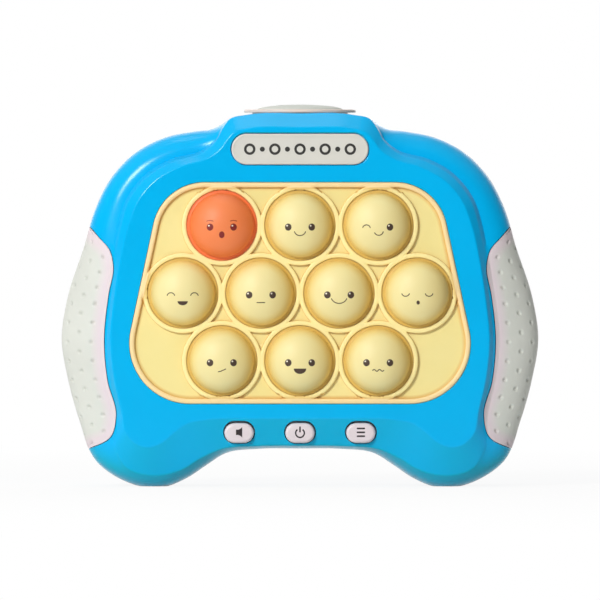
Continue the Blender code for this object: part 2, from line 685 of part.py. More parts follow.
def outline_column(index, steps):
    """One of the casing's four outlines, as smooth points in (x, z)."""
    half = [Vector((row[index][0] * HALF_WIDTH, row[index][1] * BODY_HEIGHT))
            for row in OUTLINE_shares]
    return smooth_curve(whole_ring(half), steps)


def blended(half, steps):
    """Values given for each row, blended along the same points as the outlines."""
    ring = whole_ring(list(half))
    values = []
    for i, value in enumerate(ring):
        following = ring[(i + 1) % len(ring)]
        for step in range(steps):
            values.append(value + (following - value) * step / steps)
    return values


def drawn_in(points, distances):
    """The outline moved inward by a distance that may differ along it."""
    count = len(points)
    moved = []
    for i, point in enumerate(points):
        forward = (points[(i + 1) % count] - points[i - 1]).normalized()
        moved.append(point + Vector((forward.y, -forward.x)) * distances[i])
    return moved


def body_rings(skin, grip_skin, steps, arcs):
    """The casing's rings from face to back, inside its surface by skin, and by grip_skin
    more under the grips."""
    under_grips = [1.0 if row in GRIP_ROWS else 0.0 for row in range(len(OUTLINE_shares))]
    depths = [skin + grip_skin * share for share in blended(under_grips, steps)]
    bevels = blended([row[4] for row in OUTLINE_shares], steps)
    drops = blended([row[5] for row in OUTLINE_shares], steps)
    count = len(depths)
    face = drawn_in(outline_column(0, steps), [skin] * count)
    platform = drawn_in(outline_column(1, steps), depths)
    widest = drawn_in(outline_column(2, steps), depths)
    back = drawn_in(outline_column(3, steps), depths)

    def ring(points, heights):
        return [Vector((p.x, y, p.y)) for p, y in zip(points, heights)]

    platform_y = [FACE_Y + BEVEL_DEPTH * bevels[i] + depths[i] for i in range(count)]
    shoulder_y = [platform_y[i] + STEP_DEPTH * drops[i] for i in range(count)]
    start = [a + (b - a) * SHOULDER_START_share for a, b in zip(platform, widest)]
    rings = [ring(face, [FACE_Y + skin] * count), ring(platform, platform_y),
             ring(start, shoulder_y)]
    for arc in range(1, arcs + 1):
        u = arc / arcs
        points = []
        heights = []
        for i in range(count):
            run = SHOULDER_Y - shoulder_y[i]
            slope = SHOULDER_SLOPE_share * (1 - drops[i])
            share = 3 * (1 - u) ** 2 * u * SHOULDER_BEND_share + 3 * (1 - u) * u ** 2 + u ** 3
            rise = 3 * (1 - u) ** 2 * u * slope
            rise += 3 * (1 - u) * u ** 2 * SHOULDER_RUN_share + u ** 3
            points.append(start[i] + (widest[i] - start[i]) * share)
            heights.append(shoulder_y[i] + run * rise)
        rings.append(ring(points, heights))
    rounding = BACK_Y - skin - ROUNDING_Y
    for arc in range(arcs + 1):
        angle = math.pi / 2 * arc / arcs
        share = 1 - math.cos(angle)
        points = [a + (b - a) * share for a, b in zip(widest, back)]
        rings.append(ring(points, [ROUNDING_Y + rounding * math.sin(angle)] * count))
    return rings


def grip_prism(side, growth, back_y):
    """The space that one grip takes in the front view, larger all round by growth."""
    edge = [Vector((x * HALF_WIDTH, z * BODY_HEIGHT)) for x, z in GRIP_EDGE_shares]
    curve = smooth_curve(edge, GRIP_EDGE_STEP_COUNT, closed=False)
    moved = []
    for i, point in enumerate(curve):
        forward = (curve[min(i + 1, len(curve) - 1)] - curve[max(i - 1, 0)]).normalized()
        moved.append(point + Vector((forward.y, -forward.x)) * growth)
    outer = HALF_WIDTH + OVERRUN
    outline = [(point.x * side, point.y) for point in moved]
    outline += [(outer * side, moved[-1].y), (outer * side, moved[0].y)]
    return prism(outline, FRONT_Y, back_y)


def grip_solid(side):
    outer = loft(body_rings(0, 0, OUTER_STEP_COUNT, OUTER_ARC_COUNT))
    inner = loft(body_rings(GRIP_THICKNESS, 0, COARSE_STEP_COUNT, COARSE_ARC_COUNT))
    return cut(keep(outer, grip_prism(side, 0, GRIP_BACK_Y)), inner)


def grip_recess(side):
    inner = loft(body_rings(GRIP_THICKNESS + GAP, 0, COARSE_STEP_COUNT, COARSE_ARC_COUNT))
    return cut(grip_prism(side, GAP, GRIP_BACK_Y + GAP), inner)


def casing_half(low_y, high_y):
    """The hollow casing between two planes, with the recesses for the grips."""
    outer = loft(body_rings(0, 0, OUTER_STEP_COUNT, OUTER_ARC_COUNT))
    reach = HALF_WIDTH + OVERRUN
    keep(outer, box((-reach, low_y, 0), (reach, high_y, BODY_HEIGHT + OVERRUN)))
    cut(outer, grip_recess(1), grip_recess(-1))
    cut(outer, loft(body_rings(WALL, GRIP_THICKNESS + GAP, COARSE_STEP_COUNT, COARSE_ARC_COUNT)))
    return outer


def top_button_hole():
    outline = oval(0, TOP_CENTRE_Y, COLLAR_NECK_HALF_WIDTH + GAP, COLLAR_NECK_HALF_DEPTH + GAP,
                   OVAL_SIDES)
    return prism(outline, HUMP_TOP_Z - WALL - OVERRUN, HUMP_TOP_Z + OVERRUN, "Z")


def screw_places():
    """The six screw places, as signed (x, z)."""
    side_z = BODY_HEIGHT * SCREW_SIDE_UP_share
    up_share = (side_z - PAD_BOTTOM_Z) / (PAD_TOP_Z - PAD_BOTTOM_Z)
    pad_side_x = PAD_BOTTOM_HALF + (PAD_TOP_HALF - PAD_BOTTOM_HALF) * up_share
    places = ((BODY_WIDTH * SCREW_TOP_ACROSS_share,
               PAD_TOP_Z + PAD_LIP + BOSS_RADIUS + SCREW_TOP_CLEARANCE),
              (pad_side_x + PAD_LIP + BOSS_RADIUS + SCREW_SIDE_CLEARANCE, side_z),
              (BODY_WIDTH * SCREW_LOW_ACROSS_share, BODY_HEIGHT * SCREW_LOW_UP_share))
    return [(x * side, z) for x, z in places for side in (1, -1)]


def bubble_places():
    """The ten bubbles' centres, row by row from the top left."""
    places = []
    for row, count in enumerate(BUBBLE_ROWS):
        z = BUBBLE_TOP_ROW_Z - BUBBLE_ROW_PITCH * row
        for i in range(count):
            places.append((BUBBLE_PITCH * (i - (count - 1) / 2), z))
    return places


def key_places():
    return [KEY_PITCH * i for i in (-1, 0, 1)]


def make_front_shell(materials):
    shell = casing_half(FRONT_Y, PARTING_Y - GAP / 2)
    holes = [prism(pad_outline(GAP), FRONT_Y, INNER_FACE_Y + OVERRUN / 2)]
    plate = stadium(0, PLATE_Z, PLATE_WIDTH / 2 + PLATE_GAP, PLATE_HEIGHT / 2 + PLATE_GAP)
    holes.append(prism(plate, FRONT_Y, FACE_Y + PLATE_RECESS))
    for x in key_places():
        hole = stadium(x, KEY_Z, KEY_WIDTH / 2 + KEY_HOLE_GAP, KEY_HEIGHT / 2 + KEY_HOLE_GAP)
        holes.append(prism(hole, FRONT_Y, KEY_BACK_Y + KEY_TRAVEL + GAP))
    cut(shell, gather(holes), top_button_hole())
    root_y = FACE_Y + WALL / 2
    bosses = []
    pilots = []
    for place in screw_places():
        end_y = PARTING_Y - GAP / 2
        bosses.append(turned([(BOSS_RADIUS, root_y), (BOSS_RADIUS, end_y)], POST_SIDES, place))
        pilots.append(turned([(PILOT_RADIUS, end_y - PILOT_DEPTH),
                              (PILOT_RADIUS, end_y + OVERRUN)], POST_SIDES, place))
    for side in (1, -1):
        bosses.append(turned([(KEY_POST_RADIUS, FACE_Y + BEVEL_DEPTH),
                              (KEY_POST_RADIUS, KEY_BOARD_Y - GAP)], POST_SIDES,
                             (KEY_PITCH / 2 * side, KEY_Z)))
    fuse(shell, gather(bosses))
    cut(shell, gather(pilots))
    finish(shell, "front_shell", materials["casing"])


def make_rear_shell(materials):
    shell = casing_half(PARTING_Y + GAP / 2, BACK_Y)
    root_y = BACK_Y - WALL / 2
    bay_x = BAY_HALF_WIDTH + BAY_SIDE_WALL
    additions = [box((-bay_x, BAY_FRONT_Y - BAY_WALL, BAY_BOTTOM_Z - BAY_WALL),
                     (bay_x, root_y, BAY_CEILING_Z))]
    speaker_place = (0, SPEAKER_Z)
    additions.append(turned([(SPEAKER_RING_RADIUS, root_y - SPEAKER_RING_DEPTH),
                             (SPEAKER_RING_RADIUS, root_y)], SPEAKER_SIDES, speaker_place))
    rib_top = TOP_BOARD_Z - GAP
    for side in (1, -1):
        rib_x = TOP_RIB_X * side
        additions.append(box((rib_x - TOP_RIB_THICKNESS / 2, TOP_BOARD_FRONT_Y,
                              rib_top - TOP_RIB_HEIGHT),
                             (rib_x + TOP_RIB_THICKNESS / 2, root_y, rib_top)))
    for place in screw_places():
        additions.append(turned([(WELL_RADIUS, PARTING_Y + GAP / 2), (WELL_RADIUS, root_y)],
                                POST_SIDES, place))
    fuse(shell, gather(additions))
    seat_y = PARTING_Y + WELL_SEAT
    cutters = [box((-BAY_HALF_WIDTH, BAY_FRONT_Y, BAY_BOTTOM_Z),
                   (BAY_HALF_WIDTH, DOOR_LEDGE_Y, BAY_TOP_Z))]
    cutters.append(turned([(SPEAKER_BORE_RADIUS, root_y - SPEAKER_RING_DEPTH - OVERRUN),
                           (SPEAKER_BORE_RADIUS, INNER_BACK_Y)], SPEAKER_SIDES, speaker_place))
    for place in screw_places():
        cutters.append(turned([(WELL_BORE_RADIUS, seat_y), (WELL_BORE_RADIUS, BACK_Y + OVERRUN)],
                              POST_SIDES, place))
    cut(shell, gather(cutters))
    cutters = [box((-DOOR_HALF_WIDTH - DOOR_GAP, DOOR_LEDGE_Y, DOOR_BOTTOM_Z - DOOR_GAP),
                   (DOOR_HALF_WIDTH + DOOR_GAP, BACK_Y + OVERRUN, DOOR_TOP_Z + DOOR_GAP))]
    for place in screw_places():
        hole_radius = SCREW_SHANK_RADIUS + SCREW_HOLE_GAP
        cutters.append(turned([(hole_radius, PARTING_Y - OVERRUN), (hole_radius, seat_y + GAP)],
                              POST_SIDES, place))
    for i in range(SLOT_COUNT):
        rise = SLOT_PITCH * (i - (SLOT_COUNT - 1) / 2)
        half_width = math.sqrt(SLOT_REACH_RADIUS ** 2 - rise ** 2)
        slot = stadium(0, SPEAKER_Z + rise, half_width, SLOT_HALF_HEIGHT)
        cutters.append(prism(slot, INNER_BACK_Y - GAP, BACK_Y + OVERRUN))
    cut(shell, gather(cutters))
    pilot_end = DOOR_INNER_Y - DOOR_SCREW_REACH - WALL
    wire_z = CELL_TOP_Z - WIRE_CONTACT_DROP
    cut(shell,
        turned([(DOOR_SCREW_PILOT_RADIUS, pilot_end),
                (DOOR_SCREW_PILOT_RADIUS, DOOR_LEDGE_Y + GAP / 2)], SCREW_SIDES,
               (0, DOOR_SCREW_Z)),
        turned([(WIRE_RADIUS + WIRE_HOLE_GAP, BAY_FRONT_Y - BAY_WALL * 2),
                (WIRE_RADIUS + WIRE_HOLE_GAP, CELL_Y - CONTACT_DEPTH / 2)], SCREW_SIDES,
               (-CONTACT_MIDDLE_X, wire_z)),
        top_button_hole())
    finish(shell, "rear_shell", materials["casing"])


def make_grips(materials):
    for name, side in (("left_grip", -1), ("right_grip", 1)):
        finish(grip_solid(side), name, materials["grip"])


def make_name_plate(materials):
    back_y = FACE_Y + PLATE_RECESS - GAP
    front_y = FACE_Y - PLATE_PROUD
    outline = stadium(0, PLATE_Z, PLATE_WIDTH / 2, PLATE_HEIGHT / 2)
    inner = stadium(0, PLATE_Z, PLATE_WIDTH / 2 - PLATE_CHAMFER,
                    PLATE_HEIGHT / 2 - PLATE_CHAMFER)
    rings = [[Vector((x, front_y, z)) for x, z in inner],
             [Vector((x, front_y + PLATE_CHAMFER, z)) for x, z in outline],
             [Vector((x, back_y, z)) for x, z in outline]]
    finish(loft(rings), "name_plate", materials["plate"])


def make_bubble_pad(materials):
    rim_y = FACE_Y - PAD_RIM_PROUD
    ring_y = FACE_Y - RING_PROUD
    pad = prism(pad_outline(), rim_y, PAD_BACK_Y)
    cut(pad, prism(pad_outline(-PAD_RIM_WIDTH), FRONT_Y, PAD_FLOOR_Y))
    root_y = PAD_FLOOR_Y + PAD_THICKNESS / 2
    profile = [(RING_OUTER_RADIUS, ring_y), (RING_OUTER_RADIUS, root_y)]
    fuse(pad, *[turned(profile, RING_SIDES, place) for place in bubble_places()])
    fuse(pad, prism(pad_outline(PAD_LIP), PAD_BACK_Y - PAD_LIP_THICKNESS, PAD_BACK_Y))
    bore = [(RING_INNER_RADIUS, FRONT_Y), (RING_INNER_RADIUS, PAD_BACK_Y + OVERRUN)]
    cut(pad, gather([turned(bore, RING_SIDES, place) for place in bubble_places()]))
    finish(pad, "bubble_pad", materials["pad"])


def bubble_profile():
    """The dome from its hem over the top, then down its inner side."""
    rise = BUBBLE_BASE_Y - FRONT_Y
    outer = [(BUBBLE_RADIUS, BUBBLE_HEM_Y)]
    for i in range(BUBBLE_OUTER_STEP_COUNT):
        angle = math.pi / 2 * i / BUBBLE_OUTER_STEP_COUNT
        outer.append((BUBBLE_RADIUS * math.cos(angle), BUBBLE_BASE_Y - rise * math.sin(angle)))
    inner = []
    for i in range(BUBBLE_INNER_STEP_COUNT):
        angle = math.pi / 2 * (1 - (i + 1) / BUBBLE_INNER_STEP_COUNT)
        inner.append(((BUBBLE_RADIUS - BUBBLE_WALL) * math.cos(angle),
                      BUBBLE_BASE_Y - (rise - BUBBLE_WALL) * math.sin(angle)))
    inner.append((BUBBLE_RADIUS - BUBBLE_WALL, BUBBLE_HEM_Y))
    return outer, inner


def bubble_mesh():
    """One hollow dome about its own axis, open at the back."""
    outer, inner = bubble_profile()
    points = []
    for radius, y in outer:
        points += [(a, y, b) for a, b in oval(0, 0, radius, radius, BUBBLE_SIDES)]
    outer_count = len(outer)
    points.append((0, FRONT_Y, 0))
    apex = len(points) - 1
    points.append((0, FRONT_Y + BUBBLE_WALL, 0))
    inner_apex = len(points) - 1
    inner_start = len(points)
    for radius, y in inner:
        points += [(a, y, b) for a, b in oval(0, 0, radius, radius, BUBBLE_SIDES)]
    faces = []

    def band(first, second):
        for i in range(BUBBLE_SIDES):
            j = (i + 1) % BUBBLE_SIDES
            faces.append((first + i, first + j, second + j, second + i))

    def fan(first, centre):
        for i in range(BUBBLE_SIDES):
            faces.append((first + i, first + (i + 1) % BUBBLE_SIDES, centre))

    for k in range(outer_count - 1):
        band(k * BUBBLE_SIDES, (k + 1) * BUBBLE_SIDES)
    fan((outer_count - 1) * BUBBLE_SIDES, apex)
    fan(inner_start, inner_apex)
    for k in range(len(inner) - 1):
        band(inner_start + k * BUBBLE_SIDES, inner_start + (k + 1) * BUBBLE_SIDES)
    band(0, inner_start + (len(inner) - 1) * BUBBLE_SIDES)
    return add_solid(points, faces)


def plunger_solid():
    """The clear plunger about its own axis, crowned to fit under the dome."""
    rise = BUBBLE_BASE_Y - FRONT_Y - BUBBLE_WALL
    inner_radius = BUBBLE_RADIUS - BUBBLE_WALL

    def under_dome(radius):
        share = math.sqrt(1 - (radius / inner_radius) ** 2)
        return BUBBLE_BASE_Y - rise * share + GAP * 2

    head_y = under_dome(PLUNGER_HEAD_RADIUS)
    neck_y = head_y + PLUNGER_HEAD_THICKNESS
    profile = [(PLUNGER_CROWN_RADIUS / 2, under_dome(PLUNGER_CROWN_RADIUS / 2)),
               (PLUNGER_CROWN_RADIUS, under_dome(PLUNGER_CROWN_RADIUS)),
               (PLUNGER_HEAD_RADIUS, head_y), (PLUNGER_HEAD_RADIUS, neck_y),
               (PLUNGER_STEM_RADIUS, neck_y + PLUNGER_NECK),
               (PLUNGER_STEM_RADIUS, PLUNGER_BACK_Y)]
    return turned(profile, PLUNGER_SIDES, (0, 0))


def make_bubbles(materials):
    """Ten domes and ten plungers, each on its own axis; the first bubble glows."""
    dome = bubble_mesh()
    plunger = plunger_solid()
    for number, (x, z) in enumerate(bubble_places(), start=1):
        look = "lit_bubble" if number == 1 else "bubble"
        copy = add_copy(dome)
        finish(copy, "bubble_%02d" % number, materials[look])
        copy.location = (x, 0, z)
        copy = add_copy(plunger)
        finish(copy, "light_plunger_%02d" % number, materials["plunger"])
        copy.location = (x, 0, z)
    bpy.data.objects.remove(dome, do_unlink=True)
    bpy.data.objects.remove(plunger, do_unlink=True)


def add_copy(piece):
    copy = bpy.data.objects.new(piece.name, piece.data.copy())
    bpy.context.scene.collection.objects.link(copy)
    return copy


def make_pad_frame(materials):
    frame = prism(pad_outline(), FRAME_FRONT_Y, FRAME_BACK_Y)
    cut(frame, prism(pad_outline(-FRAME_WALL), FRAME_FRONT_Y - OVERRUN,
                     FRAME_BACK_Y - FRAME_WALL))
    posts = []
    for side in (1, -1):
        for x, z in ((BUBBLE_PITCH / 2, BUBBLE_TOP_ROW_Z), (BUBBLE_PITCH / 2, BUBBLE_LOW_ROW_Z),
                     (FRAME_SIDE_POST_X, FRAME_SIDE_POST_Z)):
            posts.append(turned([(FRAME_POST_RADIUS, FRAME_BACK_Y - FRAME_WALL / 2),
                                 (FRAME_POST_RADIUS, BOARD_FRONT_Y - GAP)], POST_SIDES,
                                (x * side, z)))
    fuse(frame, gather(posts))
    bore_radius = PLUNGER_STEM_RADIUS + PLUNGER_GUIDE_GAP
    bores = [turned([(bore_radius, FRAME_FRONT_Y), (bore_radius, FRAME_BACK_Y + OVERRUN)],
                    PLUNGER_SIDES, place) for place in bubble_places()]
    cut(frame, gather(bores))
    finish(frame, "pad_frame", materials["frame"])


def make_main_board(materials):
    board = prism(pad_outline(-BOARD_INSET), BOARD_FRONT_Y, BOARD_BACK_Y)
    half = SWITCH_SIZE / 2
    parts = [box((x - half, SWITCH_FRONT_Y, z - half),
                 (x + half, BOARD_FRONT_Y + SOLDER_OVERLAP, z + half))
             for x, z in bubble_places()]
    half = CHIP_SIZE / 2
    parts.append(box((-half, BOARD_BACK_Y - SOLDER_OVERLAP, CHIP_Z - half),
                     (half, BOARD_BACK_Y + CHIP_HEIGHT, CHIP_Z + half)))
    fuse(board, gather(parts))
    finish(board, "main_board", materials["board"])


def make_keys(materials):
    for name, x in zip(("volume_key", "power_key", "menu_key"), key_places()):
        outline = stadium(x, KEY_Z, KEY_WIDTH / 2, KEY_HEIGHT / 2)
        front = stadium(x, KEY_Z, KEY_WIDTH / 2 - KEY_CHAMFER, KEY_HEIGHT / 2 - KEY_CHAMFER)
        key = loft([[Vector((a, KEY_FRONT_Y, b)) for a, b in front],
                    [Vector((a, KEY_FRONT_Y + KEY_CHAMFER, b)) for a, b in outline],
                    [Vector((a, KEY_BACK_Y, b)) for a, b in outline]])
        half = KEY_WIDTH / 2 + KEY_FLANGE
        flange_y = KEY_BACK_Y - KEY_FLANGE_THICKNESS
        fuse(key, box((x - half, flange_y, KEY_Z - KEY_FLANGE_DROP),
                      (x + half, KEY_BACK_Y, KEY_Z + KEY_HEIGHT / 2 + KEY_FLANGE)))
        finish(key, name, materials["key"], origin=(x, KEY_BACK_Y, KEY_Z))


def make_key_board(materials):
    board = box((-KEY_BOARD_HALF_WIDTH, KEY_BOARD_Y, KEY_BOARD_BOTTOM_Z),
                (KEY_BOARD_HALF_WIDTH, KEY_BOARD_Y + BOARD_THICKNESS, KEY_BOARD_TOP_Z))
    half = KEY_SWITCH_SIZE / 2
    fuse(board, gather([box((x - half, KEY_SWITCH_Y, KEY_Z - half),
                            (x + half, KEY_BOARD_Y + SOLDER_OVERLAP, KEY_Z + half))
                        for x in key_places()]))
    finish(board, "key_board", materials["board"])


def top_oval(half_width, half_depth, z):
    outline = oval(0, TOP_CENTRE_Y, half_width, half_depth, OVAL_SIDES)
    return [Vector((x, y, z)) for x, y in outline]


def make_top_button(materials):
    """The oval ring on the hump, and the button that slides down inside it."""
    collar = loft([
        top_oval(COLLAR_HALF_WIDTH - COLLAR_CHAMFER, COLLAR_HALF_DEPTH - COLLAR_CHAMFER,
                 COLLAR_TOP_Z),
        top_oval(COLLAR_HALF_WIDTH, COLLAR_HALF_DEPTH, COLLAR_TOP_Z - COLLAR_CHAMFER),
        top_oval(COLLAR_HALF_WIDTH, COLLAR_HALF_DEPTH, COLLAR_BASE_Z)])
    neck = loft([top_oval(COLLAR_NECK_HALF_WIDTH, COLLAR_NECK_HALF_DEPTH,
                          COLLAR_BASE_Z + COLLAR_HEIGHT / 2),
                 top_oval(COLLAR_NECK_HALF_WIDTH, COLLAR_NECK_HALF_DEPTH, COLLAR_NECK_Z)])
    fuse(collar, neck)
    cut(collar, loft([top_oval(COLLAR_BORE_WIDTH, COLLAR_BORE_DEPTH, COLLAR_TOP_Z + OVERRUN),
                      top_oval(COLLAR_BORE_WIDTH, COLLAR_BORE_DEPTH, COLLAR_NECK_Z - OVERRUN)]))
    finish(collar, "top_button_collar", materials["collar"])

    flange_width = TOP_BUTTON_HALF_WIDTH + TOP_BUTTON_FLANGE
    flange_depth = TOP_BUTTON_HALF_DEPTH + TOP_BUTTON_FLANGE
    rings = []
    for angle in (math.pi * 5 / 12, math.pi / 4, math.pi / 8, 0):
        rings.append(top_oval(TOP_BUTTON_HALF_WIDTH * math.cos(angle),
                              TOP_BUTTON_HALF_DEPTH * math.cos(angle),
                              TOP_BUTTON_TOP_Z - TOP_BUTTON_CROWN * (1 - math.sin(angle))))
    rings.append(top_oval(TOP_BUTTON_HALF_WIDTH, TOP_BUTTON_HALF_DEPTH, TOP_FLANGE_TOP_Z))
    rings.append(top_oval(flange_width, flange_depth, TOP_FLANGE_TOP_Z))
    rings.append(top_oval(flange_width, flange_depth, TOP_FLANGE_BOTTOM_Z))
    button = loft(rings)
    stem_root = TOP_FLANGE_BOTTOM_Z + TOP_BUTTON_FLANGE_THICKNESS / 2
    fuse(button, turned([(TOP_STEM_RADIUS, TOP_STEM_Z), (TOP_STEM_RADIUS, stem_root)],
                        POST_SIDES, (0, TOP_CENTRE_Y), "Z"))
    finish(button, "top_button", materials["top_button"],
           origin=(0, TOP_CENTRE_Y, TOP_FLANGE_BOTTOM_Z))


def make_top_switch_board(materials):
    board = box((-TOP_BOARD_HALF_WIDTH, TOP_BOARD_FRONT_Y, TOP_BOARD_Z),
                (TOP_BOARD_HALF_WIDTH, TOP_CENTRE_Y + TOP_BOARD_HALF_DEPTH, TOP_BOARD_TOP_Z))
    half = TOP_SWITCH_SIZE / 2
    fuse(board, box((-half, TOP_CENTRE_Y - half, TOP_BOARD_TOP_Z - SOLDER_OVERLAP),
                    (half, TOP_CENTRE_Y + half, TOP_SWITCH_Z)))
    finish(board, "top_switch_board", materials["board"])


def make_top_button_spring(materials):
    """A round wire coil between the switch board and the button's flange."""
    low = TOP_BOARD_TOP_Z + GAP + SPRING_WIRE / 2
    high = TOP_FLANGE_BOTTOM_Z - GAP - SPRING_WIRE / 2
    count = SPRING_TURNS * SPRING_POINTS_PER_TURN
    path = []
    for i in range(count + 1):
        angle = math.tau * i / SPRING_POINTS_PER_TURN
        path.append(Vector((SPRING_RADIUS * math.cos(angle),
                            TOP_CENTRE_Y + SPRING_RADIUS * math.sin(angle),
                            low + (high - low) * i / count)))
    finish(tube(path, SPRING_WIRE / 2), "top_button_spring", materials["steel"])


def make_housing_screws(materials):
    head_y = PARTING_Y + WELL_SEAT + GAP
    profile = [(SCREW_SHANK_RADIUS, head_y - SCREW_LENGTH), (SCREW_SHANK_RADIUS, head_y),
               (SCREW_HEAD_RADIUS, head_y), (SCREW_HEAD_RADIUS, head_y + SCREW_HEAD_HEIGHT)]
    for number, place in enumerate(screw_places(), start=1):
        screw = turned(profile, SCREW_SIDES, place)
        finish(screw, "housing_screw_%d" % number, materials["steel"])


def make_batteries(materials):
    """Three cells side by side, the middle one turned round."""
    for i in range(CELL_COUNT):
        side = 1 if i % 2 else -1
        z = CELL_LOWEST_Z + CELL_PITCH * i
        nub_x = (CONTACT_FACE_X - GAP) * side
        shoulder_x = nub_x - CELL_NUB_LENGTH * side
        cell = turned([(CELL_NUB_RADIUS, nub_x), (CELL_NUB_RADIUS, shoulder_x),
                       (CELL_RADIUS, shoulder_x), (CELL_RADIUS, shoulder_x - CELL_LENGTH * side)],
                      CELL_SIDES, (CELL_Y, z), "X")
        finish(cell, "battery_cell_%d" % (i + 1), materials["cell"])


def make_battery_contacts(materials):
    """A steel plate at each end of the bay, with a cone spring for each cell's flat end."""
    low_z = CELL_LOWEST_Z - CELL_RADIUS
    for name, side in (("battery_contact_left", -1), ("battery_contact_right", 1)):
        outer = CONTACT_X * side
        inner = CONTACT_FACE_X * side
        plate = box((min(outer, inner), CELL_Y - CONTACT_DEPTH / 2, low_z),
                    (max(outer, inner), CELL_Y + CONTACT_DEPTH / 2, CELL_TOP_Z))
        cones = []
        for i in range(CELL_COUNT):
            if (1 if i % 2 else -1) != side:
                tip = inner - CONTACT_SPRING_LENGTH * side
                cones.append(turned([(CONTACT_SPRING_BASE_RADIUS, (inner + outer) / 2),
                                     (CONTACT_SPRING_TIP_RADIUS, tip)], CELL_SIDES,
                                    (CELL_Y, CELL_LOWEST_Z + CELL_PITCH * i), "X"))
        fuse(plate, gather(cones))
        finish(plate, name, materials["steel"])


def make_battery_door(materials):
    """The door, round at its lower edge about the hinge axis, with two hooks below it."""
    radius = DOOR_THICKNESS / 2
    outline = []
    for i in range(DOOR_EDGE_SIDES + 1):
        angle = math.pi * i / DOOR_EDGE_SIDES
        outline.append((DOOR_AXIS_Y - radius * math.cos(angle),
                        DOOR_AXIS_Z - radius * math.sin(angle)))
    outline += [(BACK_Y, DOOR_TOP_Z), (DOOR_INNER_Y, DOOR_TOP_Z)]
    door = prism(outline, -DOOR_HALF_WIDTH, DOOR_HALF_WIDTH, "X")
    tab_back_y = DOOR_INNER_Y - DOOR_TAB_OFFSET
    tab_front_y = tab_back_y - DOOR_TAB_THICKNESS
    tab_top_z = DOOR_BOTTOM_Z + DOOR_TAB_RISE
    tabs = []
    for side in (1, -1):
        x = DOOR_TAB_X * side
        low = x - DOOR_TAB_HALF_WIDTH
        high = x + DOOR_TAB_HALF_WIDTH
        hook = [(DOOR_INNER_Y + DOOR_TAB_SINK, tab_top_z), (tab_front_y, tab_top_z),
                (tab_front_y, DOOR_BOTTOM_Z - DOOR_TAB_REACH),
                (tab_back_y, DOOR_BOTTOM_Z - DOOR_TAB_REACH),
                (tab_back_y, tab_top_z - DOOR_TAB_ROOT),
                (DOOR_INNER_Y + DOOR_TAB_SINK, tab_top_z - DOOR_TAB_ROOT)]
        tabs.append(prism(hook, low, high, "X"))
    fuse(door, gather(tabs))
    screw_place = (0, DOOR_SCREW_Z)
    sink_y = BACK_Y - DOOR_SCREW_SINK
    hole_radius = DOOR_SCREW_SHANK_RADIUS + GAP
    sink_radius = DOOR_SCREW_HEAD_RADIUS + GAP
    cut(door, turned([(hole_radius, DOOR_INNER_Y - OVERRUN), (hole_radius, BACK_Y)],
                     SCREW_SIDES, screw_place),
        turned([(sink_radius, sink_y), (sink_radius, BACK_Y + OVERRUN)], SCREW_SIDES,
               screw_place))
    finish(door, "battery_door", materials["casing"], origin=(0, DOOR_AXIS_Y, DOOR_AXIS_Z))

    head_y = sink_y + DOOR_SCREW_HEAD_GAP
    screw = turned([(DOOR_SCREW_SHANK_RADIUS, DOOR_INNER_Y - DOOR_SCREW_REACH),
                    (DOOR_SCREW_SHANK_RADIUS, head_y), (DOOR_SCREW_HEAD_RADIUS, head_y),
                    (DOOR_SCREW_HEAD_RADIUS, head_y + DOOR_SCREW_HEAD_HEIGHT - GAP)],
                   SCREW_SIDES, screw_place)
    finish(screw, "door_screw", materials["steel"], origin=(0, DOOR_AXIS_Y, DOOR_AXIS_Z))


def make_speaker(materials):
    basket_y = SPEAKER_BACK_Y - SPEAKER_RIM
    magnet_y = (SPEAKER_FRONT_Y + basket_y) / 2
    speaker = turned([(SPEAKER_RADIUS, SPEAKER_BACK_Y), (SPEAKER_RADIUS, basket_y),
                      (SPEAKER_MAGNET_RADIUS, magnet_y),
                      (SPEAKER_MAGNET_RADIUS, SPEAKER_FRONT_Y)], SPEAKER_SIDES, (0, SPEAKER_Z))
    finish(speaker, "speaker", materials["speaker"])


def make_wires(materials):
    """Two short leads, from the speaker and from the left contact to the main board."""
    board_y = BOARD_BACK_Y + GAP
    start_y = SPEAKER_FRONT_Y - GAP
    magnet_x = SPEAKER_MAGNET_RADIUS / 2
    stations = [Vector((magnet_x, start_y, SPEAKER_Z)),
                Vector((magnet_x, start_y - WIRE_BOW, SPEAKER_Z)),
                Vector((WIRE_SPEAKER_X, (start_y + board_y) / 2, SPEAKER_Z - WIRE_BOW)),
                Vector((WIRE_BOARD_X, board_y + WIRE_BOW, SPEAKER_Z - WIRE_DROP)),
                Vector((WIRE_BOARD_X, board_y, SPEAKER_Z - WIRE_DROP))]
    finish(tube(smooth_curve(stations, WIRE_STEP_COUNT, closed=False), WIRE_RADIUS),
           "speaker_lead", materials["wire"])
    x = -CONTACT_MIDDLE_X
    z = CELL_TOP_Z - WIRE_CONTACT_DROP
    contact_y = CELL_Y - CONTACT_DEPTH / 2 - GAP
    bay_y = BAY_FRONT_Y - BAY_WALL
    first_y, second_y, third_y = [bay_y - (bay_y - board_y) * share
                                  for share in WIRE_BEND_shares]
    stations = [Vector((x, contact_y, z)), Vector((x, first_y, z)),
                Vector((x + WIRE_BOW, second_y, z + WIRE_BOW)),
                Vector((x + WIRE_DROP, third_y, z + WIRE_DROP)),
                Vector((x + WIRE_DROP, board_y, z + WIRE_DROP))]
    finish(tube(smooth_curve(stations, WIRE_STEP_COUNT, closed=False), WIRE_RADIUS),
           "battery_lead", materials["wire"])


